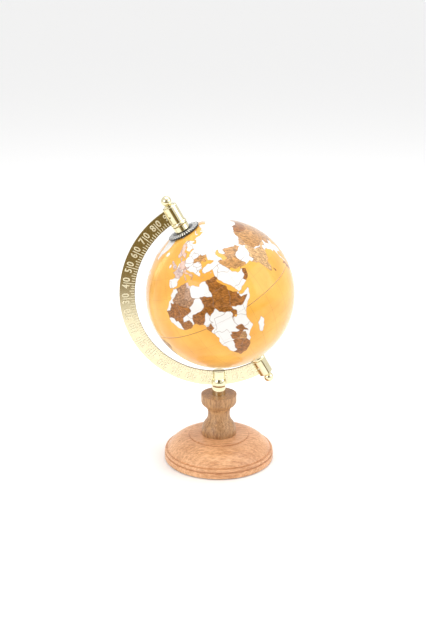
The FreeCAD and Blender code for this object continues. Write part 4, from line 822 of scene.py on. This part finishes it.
    ("w", [(-97, 25.9), (-101, 29.8), (-106, 31.8), (-111, 31.3), (-117, 32.6), (-118, 28), (-106, 17),
        (-92.3, 14.4), (-92, 17.8), (-88, 18.4), (-85, 22), (-95, 20)]),
    ("N", [(-92.3, 14.4), (-92, 17.8), (-88, 18.4), (-87, 16), (-82, 15.5), (-83, 10), (-77.2, 8.7),
        (-78, 7), (-84, 7.5)]),
    ("b", [(-60, 5), (-57, 2), (-52, 4), (-48, 2), (-33, -4), (-35, -12), (-44, -25), (-52, -34),
        (-57.6, -30.2), (-54, -25.6), (-58, -20), (-60, -14), (-65, -11), (-70.5, -11), (-73.7, -7.3),
        (-70, -4.2), (-69.5, 1), (-64, 2), (-64, 4)]),
    ("w", [(-52, -34), (-57.6, -30.2), (-54, -25.6), (-58, -23), (-62.8, -22), (-67, -22.8), (-70, -32),
        (-72, -46), (-72, -52), (-68.5, -53), (-65, -55.5), (-60, -45), (-54, -38)]),
    ("B", [(-69.5, -17.5), (-70, -32), (-72, -46), (-72, -52), (-68.5, -53), (-68, -57), (-78, -50),
        (-73, -30), (-72, -18)]),
    ("N", [(-60, -14), (-65, -11), (-69, -11), (-69.5, -17.5), (-67, -22.8), (-62.8, -22), (-58, -20)]),
    ("B", [(-71, 13), (-72.5, 8), (-70, 6.5), (-67.3, 6), (-67, 1.2), (-69.5, 1), (-70, -4.2), (-75, 0),
        (-79, 1.5), (-78, 8), (-76, 12)]),
]

# The inks. W, w and V are whites, B, b and N browns, C a lighter brown, P and p
# pinks, and T a tan. N is greyer and C lighter than the other browns: part print,
# part painted reflection of the light over lands such as Algeria, China and Iran.
INKS = {
    "W": (0.765, 0.745, 0.715), "w": (0.775, 0.75, 0.72), "V": (0.755, 0.735, 0.71),
    "B": (0.27, 0.088, 0.003), "b": (0.29, 0.100, 0.008), "N": (0.35, 0.180, 0.085),
    "C": (0.44, 0.215, 0.062), "P": (0.62, 0.345, 0.225), "p": (0.44, 0.315, 0.29),
    "T": (0.60, 0.335, 0.145),
}

# Depths are cut off at FAR degrees.
FAR = 3.0


def depth_inside(east, north, outline):
    """How far each place is inside an outline, in degrees, negative outside.

    The distance is to the nearest edge, with degrees east shortened by the
    cosine of the place's own latitude; the sign comes from counting the edges
    that a line due east crosses."""
    outline = np.array(outline)
    middle = (outline[:, 0].min() + outline[:, 0].max()) / 2
    east = (east - middle + 180) % 360 - 180 + middle
    depth = np.full(east.shape, -FAR)
    shrink = np.cos(np.radians(np.clip(north, -88, 88)))
    near = (north > outline[:, 1].min() - FAR) & (north < outline[:, 1].max() + FAR)
    near &= (east - outline[:, 0].min()) * shrink > -FAR
    near &= (east - outline[:, 0].max()) * shrink < FAR
    place_x, place_y, shrink = east[near][:, None], north[near][:, None], shrink[near][:, None]
    start, finish = outline, np.roll(outline, -1, axis=0)
    run_x, run_y = (finish[:, 0] - start[:, 0]) * shrink, finish[:, 1] - start[:, 1]
    off_x, off_y = (place_x - start[:, 0]) * shrink, place_y - start[:, 1]
    share = np.clip((off_x * run_x + off_y * run_y) / (run_x ** 2 + run_y ** 2), 0, 1)
    gap = np.hypot(off_x - share * run_x, off_y - share * run_y).min(axis=1)
    crosses = (start[:, 1] > place_y) != (finish[:, 1] > place_y)
    rise = np.where(run_y == 0, 1e-9, run_y)
    meets = start[:, 0] + (place_y - start[:, 1]) / rise * (finish[:, 0] - start[:, 0])
    inside = ((crosses & (place_x < meets)).sum(axis=1) % 2) == 1
    depth[near] = np.where(inside, 1, -1) * np.minimum(gap, FAR)
    return depth


def survey(east, north, direction):
    """Depth inside the land and inside each ink's countries at every place.

    Slow waves shift the places first, so that straight edges come out uneven."""
    chance = np.random.default_rng(7)
    for amount, pitch in ((0.34, 38.0), (0.20, 85.0)):
        for _ in range(5):
            wave = chance.normal(size=3)
            wave *= pitch / np.linalg.norm(wave)
            phase = chance.uniform(0, math.tau, 2)
            swing = direction @ wave
            shrink = np.cos(np.radians(np.clip(north, -80, 80)))
            east = east + amount / 2 * np.sin(swing + phase[0]) / shrink
            north = north + amount / 2 * np.sin(swing * 1.3 + phase[1])
    land = np.full(east.shape, -FAR)
    for outline in COASTS.values():
        land = np.maximum(land, depth_inside(east, north, outline))
    for outline in LAKES:
        land = np.minimum(land, -depth_inside(east, north, outline))
    inks = {ink: np.full(east.shape, FAR if ink == "W" else -FAR) for ink in INKS}
    for ink, outline in COUNTRIES:
        depth = depth_inside(east, north, outline)
        for other in inks:
            if other == ink:
                inks[other] = np.maximum(inks[other], depth)
            else:
                inks[other] = np.minimum(inks[other], -depth)
    return land, inks


# BALL is the radius of the map's outside, and FACING_LONGITUDE the degrees east
# that face FRONT.
BALL = (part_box("north_map")[1].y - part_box("north_map")[0].y) / 2
SKIN = 0.0002
POLE_HOLE = 0.0041
FACING_LONGITUDE = 29.0


def half_map(name, node, side):
    """One half of the printed skin: a closed thin shell from equator to pole.

    Rows run over the outside from the equator to the pole's hole and back
    inside; a place is the sum of the three axes by its longitude and latitude."""
    columns, rows, back_rows = 576, 134, 24
    hole = math.radians(90) - math.asin(POLE_HOLE / BALL)
    out = np.linspace(0, hole, rows)
    back = np.linspace(hole, 0, back_rows)
    latitude = side * np.concatenate([out, back])
    radius = np.concatenate([np.full(rows, BALL), np.full(back_rows, BALL - SKIN)])
    longitude = np.radians(np.arange(columns) * 360.0 / columns - 180)
    latitude, longitude = np.meshgrid(latitude, longitude, indexing="ij")
    turn = longitude - math.radians(FACING_LONGITUDE)
    direction = ((np.cos(latitude) * np.cos(turn))[..., None] * FRONT
                 + (np.cos(latitude) * np.sin(turn))[..., None] * EAST
                 + np.sin(latitude)[..., None] * NORTH)
    points = CENTRE + direction * radius[:, None, None]
    total = rows + back_rows
    index = np.arange(total * columns).reshape(total, columns)
    beside = np.roll(index, -1, axis=1)
    above, above_beside = np.roll(index, -1, axis=0), np.roll(beside, -1, axis=0)
    faces = np.stack([index, beside, above_beside, above], axis=-1)
    if side < 0:
        faces = faces[..., ::-1]
    piece = mesh_object(name, points.reshape(-1, 3), faces.reshape(-1, 4), printed)
    land, inks = survey(np.degrees(longitude).ravel(), np.degrees(latitude).ravel(),
                        direction.reshape(-1, 3))
    for word, values in [("land", land)] + [(f"ink_{ink}", inks[ink]) for ink in inks]:
        number = piece.data.attributes.new(word, "FLOAT", "POINT")
        number.data.foreach_set("value", values.astype(np.float32))
    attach(piece, "globe")
    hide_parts(node)


# Varnished print: orange sea with a fine grid, flat inks on land, and a fine
# dark grain over the browns.
printed = Finish("printed_map", Coat_Weight=1.0, Coat_Roughness=0.035, Coat_IOR=1.36,
                 Specular_IOR_Level=0.15, Sheen_Weight=0.25, Sheen_Roughness=0.35)
outward = printed.place.less(CENTRE).stretch([1 / BALL] * 3)
facing, easting, northing = (outward.along(axis) for axis in (FRONT, EAST, NORTH))
longitude = facing.maths("ARCTAN2", easting, facing) * (180 / math.pi) + FACING_LONGITUDE
latitude = northing.maths("ARCSINE", northing.least(1.0).most(-1.0)) * (180 / math.pi)
fine = printed.place.noise(1300.0, 3.0, 0.7)
coarse = printed.place.noise(330.0, 4.0, 0.65)
cloudy = printed.place.noise(38.0, 3.0, 0.5)


def line_every(angle, pitch, width):
    """1 on thin lines at every multiple of a pitch in degrees."""
    share = ((angle / pitch + 100.5).fraction() - 0.5).size()
    return 1 - (share * pitch).ramp(width * 0.5, width)


GRID, TROPIC, LAST_PARALLEL, DASH = 15.0, 23.4, 80.0, 2.0
from_equator = latitude.size()
meridians = line_every(longitude, GRID, 0.22)
meridians = meridians * (1 - from_equator.ramp(LAST_PARALLEL - 0.5, LAST_PARALLEL))
parallels = line_every(latitude, GRID, 0.16)
equator = 1 - from_equator.ramp(0.16, 0.30)
dashes = ((longitude / DASH + 100.0).fraction() - 0.5).size().ramp(0.18, 0.24)
tropics = (1 - (from_equator - TROPIC).size().ramp(0.10, 0.22)) * dashes
sea = cloudy.ramp(0.3, 0.7).blend((0.75, 0.340, 0.042), (0.85, 0.46, 0.078))
sea = (fine.ramp(0.52, 0.75) * 0.45).blend(sea, (0.60, 0.24, 0.030))
grid = meridians.most(parallels).most(tropics)
sea = (grid * 0.35).blend(sea, (0.36, 0.15, 0.04))
sea = (equator * 0.75).blend(sea, (0.26, 0.10, 0.03))
shore = printed.read("land")
ground = sea
hatch = printed.place.stretch((0.35, 1, 1)).noise(900.0, 3.0, 0.7, 0.6)
bronze = (coarse * 0.35 + hatch * 0.75).ramp(0.40, 0.72)
for ink, tint in INKS.items():
    colour = tint
    if ink in "BbNCT":
        colour = bronze.blend([part * 0.5 for part in tint],
                              [min(0.9, part * 1.6 + 0.02) for part in tint])
    elif ink in "Pp":
        colour = coarse.ramp(0.35, 0.65).blend(tint, (0.74, 0.55, 0.47))
    ground = printed.read(f"ink_{ink}").ramp(-0.05, 0.05).blend(ground, colour)
border = 0.0
for ink in INKS:
    border = (1 - printed.read(f"ink_{ink}").size().ramp(0.08, 0.34)).most(border)
ground = (border * 0.55).blend(ground, (0.24, 0.15, 0.11))
ground = (grid * 0.22).blend(ground, (0.30, 0.18, 0.11))
colour = shore.ramp(-0.05, 0.05).blend(sea, ground)
coast_line = 1 - shore.size().ramp(0.06, 0.30)
colour = (coast_line * 0.45).blend(colour, (0.30, 0.14, 0.05))
printed.feed(Base_Color=colour, Roughness=0.42 + fine * 0.15)
printed.bump(fine * 0.5 + cloudy * 0.5, 0.00003, 0.25)

half_map("north_map_print", "north_map", 1)
half_map("south_map_print", "south_map", -1)
